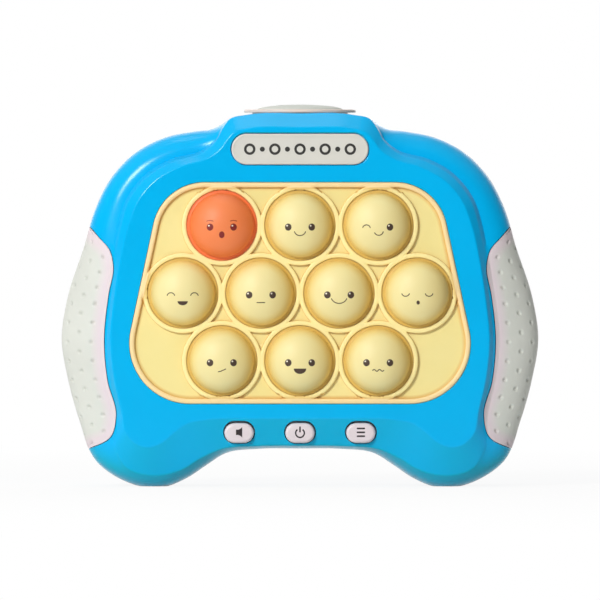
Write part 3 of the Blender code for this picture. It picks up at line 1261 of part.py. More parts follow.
def main():
    clear_scene()
    materials = make_materials()
    make_front_shell(materials)
    make_rear_shell(materials)
    make_grips(materials)
    make_name_plate(materials)
    make_bubble_pad(materials)
    make_bubbles(materials)
    make_pad_frame(materials)
    make_main_board(materials)
    make_keys(materials)
    make_key_board(materials)
    make_top_button(materials)
    make_top_switch_board(materials)
    make_top_button_spring(materials)
    make_housing_screws(materials)
    make_batteries(materials)
    make_battery_contacts(materials)
    make_battery_door(materials)
    make_speaker(materials)
    make_wires(materials)


main()
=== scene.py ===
"""Looks of the electronic bubble pop game: fine surfaces, materials, light and camera.

Every piece is made in the frame's world space, in metres: +X is right, +Z is up, and the
face looks along -Y.
"""

import json
import math
from itertools import accumulate

import bmesh
import bpy
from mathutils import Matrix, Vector
from mathutils.geometry import delaunay_2d_cdt
from mathutils.kdtree import KDTree


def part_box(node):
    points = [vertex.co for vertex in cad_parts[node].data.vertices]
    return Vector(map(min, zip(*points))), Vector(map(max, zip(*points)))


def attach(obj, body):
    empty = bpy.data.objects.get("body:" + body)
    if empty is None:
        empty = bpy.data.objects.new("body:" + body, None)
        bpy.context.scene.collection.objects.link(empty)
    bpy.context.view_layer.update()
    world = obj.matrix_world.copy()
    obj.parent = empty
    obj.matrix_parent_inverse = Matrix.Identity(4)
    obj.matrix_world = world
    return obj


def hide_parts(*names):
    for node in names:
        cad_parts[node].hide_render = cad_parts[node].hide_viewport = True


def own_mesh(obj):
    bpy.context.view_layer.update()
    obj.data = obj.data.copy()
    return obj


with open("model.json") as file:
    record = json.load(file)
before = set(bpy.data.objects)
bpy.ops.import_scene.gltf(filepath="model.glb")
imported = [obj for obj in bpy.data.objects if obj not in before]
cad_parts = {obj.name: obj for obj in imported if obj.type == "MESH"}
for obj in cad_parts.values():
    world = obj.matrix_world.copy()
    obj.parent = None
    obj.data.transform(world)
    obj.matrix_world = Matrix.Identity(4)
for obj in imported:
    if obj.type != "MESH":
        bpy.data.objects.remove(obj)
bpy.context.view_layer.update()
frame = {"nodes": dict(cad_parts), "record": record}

MM = 0.001  # a millimetre in metres

# Sizes of the casing, as the frame has them
BODY_WIDTH = 0.17499
BODY_HEIGHT = 0.1369
OVERALL_DEPTH = 0.056
WALL = 0.0018
GAP = 0.0003
BUBBLE_PROUD = 0.0085
BEVEL_DEPTH = 0.0025
STEP_DEPTH = 0.003
SHOULDER_DEPTH = 0.0135
PARTING_DEPTH = 0.0235
BACK_ROUNDING = 0.011
OVERRUN = 0.005

HALF_WIDTH = BODY_WIDTH / 2
FRONT_Y = -OVERALL_DEPTH / 2
BACK_Y = OVERALL_DEPTH / 2
FACE_Y = FRONT_Y + BUBBLE_PROUD
SHOULDER_Y = FACE_Y + SHOULDER_DEPTH
PARTING_Y = FACE_Y + PARTING_DEPTH
ROUNDING_Y = BACK_Y - BACK_ROUNDING

# Half outline of the casing, from the top centre down to the bottom centre. Each row gives
# the flat face's edge, the platform's edge, the widest outline and the back's edge, each as
# shares of the half width and of the height, then the shares of bevel and step depth there.
OUTLINE = (
    ((0.000, 0.961), (0.000, 1.000), (0.000, 1.000), (0.000, 0.923), 2.0, 0.3),
    ((0.217, 0.958), (0.223, 0.996), (0.223, 0.996), (0.166, 0.920), 2.0, 0.3),
    ((0.279, 0.947), (0.293, 0.985), (0.294, 0.986), (0.234, 0.912), 1.8, 0.3),
    ((0.306, 0.928), (0.323, 0.961), (0.327, 0.971), (0.288, 0.903), 1.4, 0.5),
    ((0.334, 0.903), (0.353, 0.925), (0.368, 0.958), (0.336, 0.891), 1.1, 0.8),
    ((0.389, 0.879), (0.411, 0.893), (0.437, 0.952), (0.395, 0.875), 1.0, 1.0),
    ((0.503, 0.856), (0.529, 0.871), (0.562, 0.936), (0.498, 0.847), 1.0, 1.0),
    ((0.601, 0.822), (0.631, 0.834), (0.683, 0.898), (0.592, 0.808), 1.0, 1.0),
    ((0.677, 0.766), (0.713, 0.770), (0.789, 0.830), (0.679, 0.752), 1.0, 1.0),
    ((0.722, 0.692), (0.752, 0.692), (0.857, 0.747), (0.738, 0.684), 1.0, 0.8),
    ((0.750, 0.612), (0.774, 0.603), (0.906, 0.643), (0.784, 0.600), 1.0, 0.5),
    ((0.777, 0.504), (0.794, 0.504), (0.976, 0.504), (0.839, 0.494), 1.0, 0.4),
    ((0.793, 0.393), (0.811, 0.393), (1.000, 0.393), (0.859, 0.393), 1.0, 0.4),
    ((0.779, 0.292), (0.797, 0.289), (0.974, 0.288), (0.841, 0.299), 1.0, 0.4),
    ((0.747, 0.201), (0.765, 0.190), (0.926, 0.177), (0.798, 0.210), 1.1, 0.4),
    ((0.725, 0.140), (0.770, 0.101), (0.856, 0.067), (0.745, 0.133), 1.3, 0.3),
    ((0.679, 0.113), (0.725, 0.050), (0.757, 0.020), (0.693, 0.099), 1.4, 0.2),
    ((0.629, 0.107), (0.649, 0.031), (0.658, -0.002), (0.638, 0.086), 1.4, 0.2),
    ((0.578, 0.119), (0.574, 0.031), (0.569, -0.002), (0.578, 0.089), 1.4, 0.2),
    ((0.528, 0.146), (0.494, 0.046), (0.474, 0.022), (0.514, 0.107), 1.4, 0.2),
    ((0.473, 0.170), (0.416, 0.076), (0.389, 0.058), (0.450, 0.130), 1.4, 0.2),
    ((0.394, 0.180), (0.331, 0.100), (0.313, 0.088), (0.373, 0.152), 1.4, 0.2),
    ((0.206, 0.183), (0.177, 0.109), (0.171, 0.100), (0.201, 0.169), 1.4, 0.2),
    ((0.000, 0.183), (0.000, 0.110), (0.000, 0.101), (0.000, 0.172), 1.4, 0.2),
)
GRIP_ROWS = range(9, 17)
OUTER_STEPS = 6
OUTER_ARCS = 8
INNER_STEPS = 1
INNER_ARCS = 2
SHOULDER_START = 0.12
SHOULDER_BEND = 0.6
SHOULDER_RUN = 0.5
SHOULDER_SLOPE = 0.3
CREASE_RADIUS = 0.0005
EDGE_RADIUS = 0.0007
CREASE_STEPS = 4
SEAM_CHAMFER = 0.0003
TONGUE_SKIN = 0.001
TONGUE_GAP = 0.00002
HOLE_FLARE = 0.0004
PAD_FLARE = 0.0002
FLARE_STEPS = 4
EDGE_STEPS = 5
AREA_WEIGHT = 80

# Grips
GRIP_THICKNESS = 0.0024
GRIP_BACK_Y = BACK_Y - 0.0054
GRIP_EDGE = (
    (0.894, 0.703), (0.842, 0.666), (0.799, 0.634), (0.783, 0.592), (0.803, 0.512),
    (0.821, 0.391), (0.806, 0.281), (0.771, 0.191), (0.791, 0.136), (0.896, 0.099),
)
GRIP_EDGE_STEPS = 8
GRIP_GRID_STEPS = 36
GRIP_GRID_ARCS = 56
GRIP_SIDE_BANDS = 72
DIMPLE_RADIUS = 0.00095
DIMPLE_DEPTH = 0.0006
DIMPLE_FIRST = 0.0036
DIMPLE_COLUMN_PITCH = 0.005
DIMPLE_ROW_PITCH = 0.0071
DIMPLE_POWER = 1.4

# Silicone panel and bubbles
PAD_TOP_Z = 0.11135
PAD_BOTTOM_Z = 0.03065
PAD_TOP_HALF = 0.0502
PAD_BOTTOM_HALF = 0.0675
PAD_TOP_RADIUS = 0.019
PAD_BOTTOM_RADIUS = 0.022
PAD_RIM_WIDTH = 0.002
PAD_RIM_PROUD = 0.0006
PAD_RIM_SHELF = 0.0006
PAD_FIT = 0.0002
PAD_LIP = 0.001
PAD_LIP_THICKNESS = 0.0006
PAD_RIM_SPACING = 0.0016
PAD_FLOOR_SUNK = 0.0008
PAD_FLOOR_Y = FACE_Y + PAD_FLOOR_SUNK
PAD_BACK_Y = PAD_FLOOR_Y + 0.002
PAD_CORNER_SIDES = 24
PAD_RING_SIDES = 72
PAD_MERGE = 0.000001
PAD_STEPS = (0.0, 0.01, 0.05, 0.14, 0.3, 0.5, 0.7, 0.86, 0.95, 0.99, 1.0)
# Rings of points on the floor beside the rim, which carry the painted shade at the rim's foot.
PAD_FLOOR_STEPS = (1.12, 1.3, 1.6)
PAD_HOLE = 0.9995
PAD_HOLE_MARGIN = 1.002
RIM_POWER = 2.6
RING_POWER = 4.0
RING_WIDTH = 0.0019
RING_PROUD = 0.0007
BUBBLE_RADIUS = 0.0125
BUBBLE_GROOVE = 0.0004
BUBBLE_WALL = 0.0015
BUBBLE_PITCH = 0.0286
BUBBLE_ROW_PITCH = 0.0248
BUBBLE_ROWS = (3, 4, 3)
BUBBLE_TOP_ROW_Z = 0.0958
BUBBLE_BASE_Y = FACE_Y - PAD_RIM_PROUD
BUBBLE_HEM_Y = PAD_BACK_Y + 0.0002
RING_INNER_RADIUS = BUBBLE_RADIUS + BUBBLE_GROOVE
DOME_LOWERED = 0.00006
DOME_SIDES = 96
DOME_STEPS = 24
DOME_FOOT_RADIUS = 0.0117
DOME_INNER_RADIUS = 0.0108
DOME_FOOT_Y = BUBBLE_BASE_Y - 0.0001
DOME_FLANGE_RADIUS = 0.01283
DOME_FLANGE_Y = BUBBLE_BASE_Y + 0.0003
DOME_FLANGE_STEPS = 8
PRINT_PROUD = 0.00003
PRINT_SUNK = 0.00005
DOME_RISE = DOME_FOOT_Y - FRONT_Y - DOME_LOWERED

# Name plate
PLATE_WIDTH = 0.0502
PLATE_HEIGHT = 0.0113
PLATE_Z = 0.1237
PLATE_RECESS = 0.001
PLATE_PROUD = 0.0005
PLATE_ROUNDING = 0.0005
PLATE_BORDER = 0.0009
PLATE_SUNK = 0.00015
PLATE_MARKS = 9
PLATE_MARK_PITCH = 0.0046
PLATE_MARK_RADIUS = 0.0021
PLATE_RING = 0.56
PLATE_SMALL = 0.44

# Keys
KEY_XS = (-0.0223, 0.0, 0.0223)
KEY_Z = 0.02
KEY_WIDTH = 0.0108
KEY_HEIGHT = 0.0075
KEY_FRONT_Y = -0.019
KEY_BACK_Y = -0.0126
KEY_ROUNDING = 0.0012
KEY_SHORT = 0.00008
KEY_LOW = 0.00022
KEY_HOLE_GAP = 0.00045
KEY_TRAVEL = 0.0012
KEY_FLANGE = 0.0012
KEY_FLANGE_THICKNESS = 0.0013
KEY_FLANGE_DROP = 0.0005

# Top button and its ring; a pair is half a width and half a depth
TOP_CENTRE_Y = 0.0015
COLLAR_HALF = (0.0205, 0.015)
COLLAR_BORE = (0.0161, 0.01185)
COLLAR_NECK = (0.0175, 0.01325)
COLLAR_BASE_Z = 0.1372
COLLAR_TOP_Z = 0.1383
COLLAR_NECK_Z = 0.1336
COLLAR_ROUNDING = 0.0005
COLLAR_STEPS = 6
TOP_BUTTON_HALF = (0.01575, 0.0115)
TOP_BUTTON_TOP_Z = 0.14012
TOP_BUTTON_CROWN = 0.0019
TOP_BUTTON_STEPS = 12
TOP_BUTTON_TURN = math.radians(86)
TOP_BUTTON_FLANGE = 0.0015
TOP_BUTTON_FLANGE_THICKNESS = 0.0013
TOP_FLANGE_TOP_Z = 0.1333
TOP_FLANGE_BOTTOM_Z = 0.132
TOP_STEM_RADIUS = 0.0022
TOP_STEM_Z = 0.1264

# Screws of the casing
SCREW_PLACES = ((0.033, 0.1162), (0.0584, 0.095), (0.056, 0.022))
BOSS_RADIUS = 0.0033
PILOT_RADIUS = 0.00155
PILOT_DEPTH = 0.012
SCREW_HOLE_RADIUS = 0.0016
KEY_POST_RADIUS = 0.0016
KEY_BOARD_Y = -0.0096
TOP_RIB_X = 0.012
TOP_RIB_THICKNESS = 0.0016
TOP_RIB_HEIGHT = 0.0037
TOP_RIB_FRONT_Y = -0.008
TOP_RIB_TOP_Z = 0.1204
WIRE_HOLE_RADIUS = 0.0013
WIRE_HOLE_X = 0.02885
WIRE_HOLE_Z = 0.0715
WIRE_HOLE_BACK_Y = 0.0119
WELL_RADIUS = 0.0044
WELL_BORE_RADIUS = 0.003
WELL_SEAT = 0.0038
SCREW_HEAD_RADIUS = 0.0026
SCREW_HEAD_HEIGHT = 0.002
SCREW_SHANK_RADIUS = 0.00125
SCREW_LENGTH = 0.012
SCREW_HEAD = ((1.0, 0.45), (0.93, 0.75), (0.78, 0.93), (0.5, 1.0))
SCREW_CROSS_REACH = 0.55
SCREW_CROSS_WIDTH = 0.14
SCREW_CROSS_FLOOR = 0.4

# Battery bay and its door
BAY_HALF_WIDTH = 0.0295
BAY_SIDE_WALL = 0.0035
BAY_WALL = 0.0016
BAY_FRONT_Y = 0.0109
BAY_BOTTOM_Z = 0.028
BAY_TOP_Z = 0.0769
BAY_CEILING_Z = 0.086
DOOR_HALF_WIDTH = 0.031
DOOR_BOTTOM_Z = 0.0305
DOOR_TOP_Z = 0.084
DOOR_THICKNESS = 0.002
DOOR_GAP = 0.0004
DOOR_INNER_Y = BACK_Y - DOOR_THICKNESS
DOOR_LEDGE_Y = DOOR_INNER_Y - GAP
DOOR_AXIS_Y = 0.027
DOOR_AXIS_Z = 0.0315
DOOR_EDGE_ROUNDING = 0.0004
DOOR_EDGE_STEPS = 3
DOOR_EDGE_ANGLE = math.radians(60)
DOOR_KNUCKLE_STEPS = 16
DOOR_TAB_X = 0.018
DOOR_TAB_HALF_WIDTH = 0.004
DOOR_TAB_THICKNESS = 0.0012
DOOR_TAB_OFFSET = 0.0008
DOOR_TAB_REACH = 0.0012
DOOR_TAB_RISE = 0.0035
DOOR_TAB_ROOT = 0.0018
DOOR_TAB_SINK = 0.0005
DOOR_GROOVE_COUNT = 4
DOOR_GROOVE_Z = 0.0715
DOOR_GROOVE_PITCH = 0.0026
DOOR_GROOVE_HALF_WIDTH = 0.011
DOOR_GROOVE_HALF_HEIGHT = 0.0005
DOOR_GROOVE_DEPTH = 0.0006
DOOR_SCREW_Z = 0.0804
DOOR_SCREW_HEAD_RADIUS = 0.0023
DOOR_SCREW_HEAD_HEIGHT = 0.001
DOOR_SCREW_SHANK_RADIUS = 0.0012
DOOR_SCREW_REACH = 0.0032
DOOR_SCREW_PILOT_RADIUS = 0.00165
DOOR_SCREW_SINK = 0.0013
DOOR_SCREW_HEAD_GAP = 0.0004

# Cells and the top button's spring
CELL_COUNT = 3
CELL_NUB_RADIUS = 0.00275
CELL_NUB_LENGTH = 0.0011
CELL_SLEEVE_GAP = 0.0002
CELL_ROUNDING = 0.0006
CELL_EDGE_ANGLES = (0, 0.4, 0.8, 1.2, math.pi / 2)
CELL_CORE_INSET = 0.0011
CELL_SKIN = 0.00004
CELL_SIDES = 64
CELL_BAND_START = 0.036
CELL_BAND_END = 0.0465
SPRING_RADIUS = 0.0052
SPRING_WIRE = 0.0007
SPRING_TURNS = 4
SPRING_POINTS = 24
SPRING_SIDES = 10

# Loudspeaker opening
SPEAKER_Z = 0.103
SPEAKER_RING_RADIUS = 0.01565
SPEAKER_RING_DEPTH = 0.007
SPEAKER_BORE_RADIUS = 0.01435
SLOT_COUNT = 5
SLOT_PITCH = 0.004
SLOT_HALF_HEIGHT = 0.0009
SLOT_REACH_RADIUS = 0.0125

# Finish: sizes of what varies, in metres, and how far it does
GLOSS_RANGE = 0.05
GLOSS_FINENESS = 5
BROAD_GRAIN = 30
BROAD_RELIEF = 3
GRIP_EDGE_TINT = (0.002, 0.0052)
# Depths over which the panel's raised rings and rim are painted paler than its recessed floor:
# painted light.
PAD_PAINTED_LIGHT_Y = (PAD_FLOOR_Y - 0.0004, FACE_Y - 0.0003)
# Where the bubble's colours change up the dome, for its painted light and shade.
BUBBLE_LIGHT_AND_SHADE_STOPS = (0.02, 0.06, 0.3, 0.7)
BUBBLE_PATCH = 0.004
BUBBLE_MOTTLE = 0.12
BUBBLE_GLOSS_PATCH = 0.003
BUBBLE_GRAIN = 0.0004
BUBBLE_RELIEF = 0.000008

# Light and camera
AIM = (0, 0, 0.0683)
WORLD_LEFT = 0.38
WORLD_RIGHT = 0.02
DARK_FRONT = 0.02
LAMPS = (  # name, place, size, power
    ("key_lamp", (-0.8, -1.42, 0.85), (0.4, 0.36), 22),
    ("top_lamp", (-0.1, 0.05, 1.5), (0.8, 0.6), 3.5),
    ("back_lamp", (0.1, 1.5, 1.0), (3.6, 1.6), 14),
)
FLOOR_REACH = 12.0
FLOOR_FRONT = -0.8
FLOOR_GLOW_NEAR = 0.9
FLOOR_GLOW_RANGE = (0.12, 0.7)
FLOOR_GLOW_RANGE = (0.12, 0.7)
CAMERA_ELEVATION = 0.5
CAMERA_DISTANCE = 5.0
CAMERA_FRAME = 0.2197
CAMERA_SENSOR = 36
CAMERA_REACH = 50

# How many sides the round forms have
PIN_SIDES = 16
BOSS_SIDES = 24
HOLE_SIDES = 32
MARK_SIDES = 40
SPEAKER_SIDES = 48
TOP_SIDES = 96
SLOT_SIDES = 16
GROOVE_SIDES = 12

# Printed faces, in millimetres from the bubble's centre. Each row of FACES gives the left
# and the right eye, whether there are brows, and the mouth. An arc is its middle, its half
# width and half height, and where it starts and ends in degrees from straight up.
STROKE_WIDTH = 0.17
BROW_WIDTH = 0.12
STROKE_ENDS = (25, 50, 75)
ARC_STEPS = 14
EYE_X = 4.3
EYE_Z = -0.6
EYE_SIZE = (1.2, 1.3)
GLINT_PLACE = (-0.42, 0.5)
GLINT_SIZE = (0.3, 0.3)
LIDS = {"up": (-0.5, 1.4, 1.3, -75, 75), "down": (0.7, 1.4, 1.2, 105, 255)}
BROW = ((-1.2, 2.2), (0.0, 2.45), (1.2, 2.2))
MOUTH_Z = -3.4
WAVE = [(0.2 * i - 2.0, 0.35 * math.sin(math.tau * i / 10)) for i in range(21)]
FACES = (
    ("open", "open", True, "spot", (0, 1.0, 1.25)),
    ("open", "open", False, "arc", (0, 1.6, 2.1, 1.9, 105, 255)),
    ("up", "open", False, "arc", (0.2, 1.2, 1.6, 1.4, 95, 250)),
    ("up", "up", False, "bowl", (1.9, 2.0)),
    ("open", "open", False, "line", ((-1.4, 0), (0, 0), (1.4, 0))),
    ("open", "open", False, "arc", (0, 2.4, 3.0, 2.7, 112, 248)),
    ("down", "down", False, "spot", (0.3, 0.6, 0.75)),
    ("open", "open", False, "line", ((-1.2, -0.5), (-0.3, -0.3), (1.4, 0.5))),
    ("open", "open", False, "bowl", (2.3, 2.6)),
    ("open", "open", False, "line", WAVE),
)
SPOT_SIDES = 28
SPOT_SHARES = (1.0, 0.7, 0.35, 0.03)
BOWL_STEPS = 12

# Signs on the keys, in millimetres from the key's centre
SOUND_SIGN = ((-1.15, 0.98), (-0.25, 0.98), (0.3, 1.22), (0.72, 1.52), (1.12, 1.92))
POWER_RADII = (1.86, 1.32)
POWER_LOW = 0.28
POWER_START = 36
POWER_STEPS = 40
POWER_BAR = ((-0.29, 0.0), (0.29, 0.0), (0.29, 2.1), (-0.29, 2.1))
MENU_RISES = (1.42, 0, -1.42)
MENU_BAR = (1.55, 0.31, 10)


# Solids


def add_object(name, data):
    thing = bpy.data.objects.new(name, data)
    bpy.context.scene.collection.objects.link(thing)
    return thing


def add_solid(points, faces):
    """A closed mesh object whose faces point out."""
    mesh = bpy.data.meshes.new("solid")
    mesh.from_pydata(points, [], faces)
    shape = bmesh.new()
    shape.from_mesh(mesh)
    bmesh.ops.recalc_face_normals(shape, faces=shape.faces)
    shape.to_mesh(mesh)
    shape.free()
    return add_object("solid", mesh)


def loft(rings, closed=False):
    """A solid through rings of as many points each. It has a flat face at both ends, or runs
    back to its first ring."""
    count = len(rings[0])
    points = [point for ring in rings for point in ring]
    total = len(points)
    faces = [] if closed else [tuple(range(count)), tuple(range(total - count, total))]
    for start in range(0, total if closed else total - count, count):
        following = (start + count) % total
        for i in range(count):
            j = (i + 1) % count
            faces.append((start + i, start + j, following + j, following + i))
    return add_solid(points, faces)


def along(axis, first, second, distance):
    """The place of a flat outline's point on a plane across the axis."""
    if axis == "X":
        return Vector((distance, first, second))
    if axis == "Y":
        return Vector((first, distance, second))
    return Vector((first, second, distance))


def prism(outline, start, end, axis="Y"):
    """An outline in (x, z), (x, y) or (y, z), drawn out along the axis."""
    rings = [[along(axis, a, b, distance) for a, b in outline] for distance in (start, end)]
    return loft(rings)


def box(low, high):
    corners = [(low[0], low[2]), (high[0], low[2]), (high[0], high[2]), (low[0], high[2])]
    return prism(corners, low[1], high[1])


def turned(profile, sides, centre, axis="Y"):
    """A round solid from (radius, distance) points, closed flat at both ends."""
    rings = []
    for radius, distance in profile:
        outline = oval(centre[0], centre[1], radius, radius, sides)
        rings.append([along(axis, a, b, distance) for a, b in outline])
    return loft(rings)


def rod(radius, start, end, sides, centre, axis="Y"):
    return turned([(radius, start), (radius, end)], sides, centre, axis)


def apply_modifiers(piece):
    """Put what the piece's modifiers give in place of its mesh."""
    graph = bpy.context.evaluated_depsgraph_get()
    result = bpy.data.meshes.new_from_object(piece.evaluated_get(graph))
    piece.modifiers.clear()
    piece.data = result


def combine(target, tools, operation):
    """Cut, fuse or keep the target with each tool in turn, and drop the tools."""
    for tool in tools:
        modifier = target.modifiers.new(operation.lower(), "BOOLEAN")
        modifier.operation = operation
        modifier.solver = "EXACT"
        modifier.object = tool
    apply_modifiers(target)
    for tool in tools:
        bpy.data.objects.remove(tool, do_unlink=True)
    return target


def cut(target, *tools):
    return combine(target, tools, "DIFFERENCE")


def fuse(target, *tools):
    return combine(target, tools, "UNION")


def keep(target, *tools):
    return combine(target, tools, "INTERSECT")


def gather(pieces):
    """One object that holds several solids which stay clear of each other."""
    shape = bmesh.new()
    for piece in pieces:
        shape.from_mesh(piece.data)
    mesh = bpy.data.meshes.new("group")
    shape.to_mesh(mesh)
    shape.free()
    for piece in pieces:
        bpy.data.objects.remove(piece, do_unlink=True)
    return add_object("group", mesh)


def mirrored_piece(piece):
    """A copy of the piece on the other side of the centre line."""
    points = [Vector((-v.co.x, v.co.y, v.co.z)) for v in piece.data.vertices]
    faces = [tuple(reversed(face.vertices)) for face in piece.data.polygons]
    return add_solid(points, faces)


def set_values(piece, name, values):
    """Numbers kept at the piece's points, which its material reads."""
    attribute = piece.data.attributes.new(name, "FLOAT", "POINT")
    attribute.data.foreach_set("value", values)


def shade_by_area(piece):
    """Let the larger faces set the shading, so that flat ones look flat beside round edges."""
    modifier = piece.modifiers.new("shading", "WEIGHTED_NORMAL")
    modifier.mode = "FACE_AREA"
    modifier.weight = AREA_WEIGHT
    modifier.keep_sharp = True
    apply_modifiers(piece)


def dress(piece, name, material, body="root", stands_for=(), smooth_angle=35):
    """Name, colour and shade a piece, hang it under its body, and hide the frame's parts that
    it stands for.
    """
    piece.name = name
    piece.data.name = name
    piece.data.materials.clear()
    piece.data.materials.append(material)
    for face in piece.data.polygons:
        face.material_index = 0
    piece.data.shade_smooth()
    piece.data.set_sharp_from_angle(angle=math.radians(smooth_angle))
    shade_by_area(piece)
    piece.data.name = name
    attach(piece, body)
    if stands_for:
        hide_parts(*stands_for)
    return piece


# Flat outlines


def oval(centre_a, centre_b, half_a, half_b, sides):
    angles = [math.tau * i / sides for i in range(sides)]
    return [(centre_a + half_a * math.sin(t), centre_b + half_b * math.cos(t)) for t in angles]


def stadium(centre_x, centre_z, half_width, half_height, sides=SLOT_SIDES):
    """A bar with round ends."""
    reach = half_width - half_height
    outline = []
    for side in (1, -1):
        for i in range(sides + 1):
            angle = math.pi * i / sides
            outline.append((centre_x + side * reach + side * half_height * math.sin(angle),
                            centre_z + side * half_height * math.cos(angle)))
    return outline


def grown_circle(x, z, radius, sides):
    """A function that gives the circle's outline for an amount of growth."""
    return lambda growth: oval(x, z, radius + growth, radius + growth, sides)


def grown_stadium(x, z, half_width, half_height, sides):
    """A function that gives the outline of a bar with round ends for an amount of growth."""
    return lambda growth: stadium(x, z, half_width + growth, half_height + growth, sides)


def pad_corners():
    """Centre, radius, side and turn of the panel's two corner arcs on the right."""
    lean = math.atan2(PAD_BOTTOM_HALF - PAD_TOP_HALF, PAD_TOP_Z - PAD_BOTTOM_Z)
    corners = []
    for half, z, radius, side in ((PAD_TOP_HALF, PAD_TOP_Z, PAD_TOP_RADIUS, 1),
                                  (PAD_BOTTOM_HALF, PAD_BOTTOM_Z, PAD_BOTTOM_RADIUS, -1)):
        turn = math.pi / 2 - side * lean
        centre_x = half - radius * math.tan(turn / 2)
        corners.append((centre_x, z - side * radius, radius, side, turn))
    return corners


def pad_outline(growth=0.0, sides=20):
    """The rounded trapezoid of the silicone panel, made larger all round by growth."""
    top, bottom = pad_corners()
    half_outline = []
    for centre_x, centre_z, radius, side, turn in (top, bottom):
        for i in range(sides + 1):
            share = i / sides if side > 0 else 1 - i / sides
            angle = turn * share
            half_outline.append((centre_x + (radius + growth) * math.sin(angle),
                                 centre_z + side * (radius + growth) * math.cos(angle)))
    other_half = [(-x, z) for x, z in reversed(half_outline)]
    return half_outline + other_half


def bubble_places():
    """The ten bubbles' centres, row by row from the top left."""
    places = []
    for row, count in enumerate(BUBBLE_ROWS):
        z = BUBBLE_TOP_ROW_Z - BUBBLE_ROW_PITCH * row
        for i in range(count):
            places.append((BUBBLE_PITCH * (i - (count - 1) / 2), z))
    return places


def sides_of(loop):
    """Each point of a closed outline with the one that follows it."""
    return zip(loop, loop[1:] + loop[:1])


def distance_to(x, z, loop):
    """Distance of a point from a closed outline."""
    best = 1.0
    for (ax, az), (bx, bz) in sides_of(loop):
        dx, dz = bx - ax, bz - az
        length = dx * dx + dz * dz
        share = 0.0 if length == 0 else ((x - ax) * dx + (z - az) * dz) / length
        share = min(max(share, 0.0), 1.0)
        best = min(best, math.hypot(x - ax - dx * share, z - az - dz * share))
    return best


def inside_outline(x, z, loop):
    inside = False
    for (ax, az), (bx, bz) in sides_of(loop):
        if (az > z) != (bz > z) and x < ax + (bx - ax) * (z - az) / (bz - az):
            inside = not inside
    return inside


def spaced(loop, spacing):
    """The same outline with extra points on its long sides."""
    points = []
    for (ax, az), (bx, bz) in sides_of(loop):
        parts = max(1, round(math.hypot(bx - ax, bz - az) / spacing))
        points += [(ax + (bx - ax) * k / parts, az + (bz - az) * k / parts)
                   for k in range(parts)]
    return points


def quarter_turn(steps):
    """Sine and cosine at even steps from 0 to 90 degrees."""
    angles = [math.pi / 2 * i / steps for i in range(steps + 1)]
    return [(math.sin(t), math.cos(t)) for t in angles]


def headings(path):
    """Which way an open line runs at each of its points."""
    last = len(path) - 1
    return [(path[min(i + 1, last)] - path[max(i - 1, 0)]).normalized()
            for i in range(last + 1)]


def lengths_along(path):
    """How far along an open line each of its points lies."""
    return list(accumulate(((b - a).length for a, b in zip(path, path[1:])), initial=0.0))


# The casing's own form


def smooth_curve(stations, steps, closed=True):
    """Points on a smooth curve through the stations, with so many steps for each."""
    first, last = (stations[-1:], stations[:1]) if closed else (stations[:1], stations[-1:])
    before = first + stations[:-1]
    after = stations[1:] + last
    tangents = []
    for a, b, c in zip(before, stations, after):
        reach_in = (b - a).length or 1
        reach_out = (c - b).length or 1
        slope = (b - a) / reach_in * reach_out + (c - b) / reach_out * reach_in
        tangents.append(slope / (reach_in + reach_out))
    points = []
    for i in range(len(stations) if closed else len(stations) - 1):
        start = stations[i]
        end = after[i]
        chord = (end - start).length
        for step in range(steps):
            u = step / steps
            point = start * (2 * u ** 3 - 3 * u ** 2 + 1)
            point += end * (3 * u ** 2 - 2 * u ** 3)
            point += tangents[i] * chord * (u ** 3 - 2 * u ** 2 + u)
            point += tangents[(i + 1) % len(stations)] * chord * (u ** 3 - u ** 2)
            points.append(point)
    return points if closed else points + last


def mirrored(value):
    return Vector((-value.x, value.y)) if isinstance(value, Vector) else value


def whole_ring(half):
    """Both sides from the rows of one side: the end rows lie on the centre line."""
    return half + [mirrored(value) for value in half[-2:0:-1]]


def outline_column(index, steps):
    """One of the casing's four outlines, as smooth points in (x, z)."""
    half = [Vector((row[index][0] * HALF_WIDTH, row[index][1] * BODY_HEIGHT))
            for row in OUTLINE]
    return smooth_curve(whole_ring(half), steps)


def blended(half, steps):
    """Values given for each row, blended along the same points as the outlines."""
    ring = whole_ring(list(half))
    values = []
    for i, value in enumerate(ring):
        following = ring[(i + 1) % len(ring)]
        for step in range(steps):
            values.append(value + (following - value) * step / steps)
    return values


def drawn_in(points, distances):
    """The outline moved inward by a distance that may differ along it."""
    count = len(points)
    moved = []
    for i, point in enumerate(points):
        forward = (points[(i + 1) % count] - points[i - 1]).normalized()
        moved.append(point + Vector((forward.y, -forward.x)) * distances[i])
    return moved


def at_depth(points, heights):
    return [Vector((p.x, y, p.y)) for p, y in zip(points, heights)]


def rounded_corner(before, corner, after, reach):
    """Rings that round the corner ring between the rings before and after it."""
    rings = []
    for step in range(CREASE_STEPS + 1):
        t = step / CREASE_STEPS
        ring = []
        for a, b, c in zip(before, corner, after):
            start = b + (a - b).normalized() * min(reach, (a - b).length / 2)
            end = b + (c - b).normalized() * min(reach, (c - b).length / 2)
            ring.append(start * (1 - t) ** 2 + b * 2 * t * (1 - t) + end * t ** 2)
        rings.append(ring)
    return rings


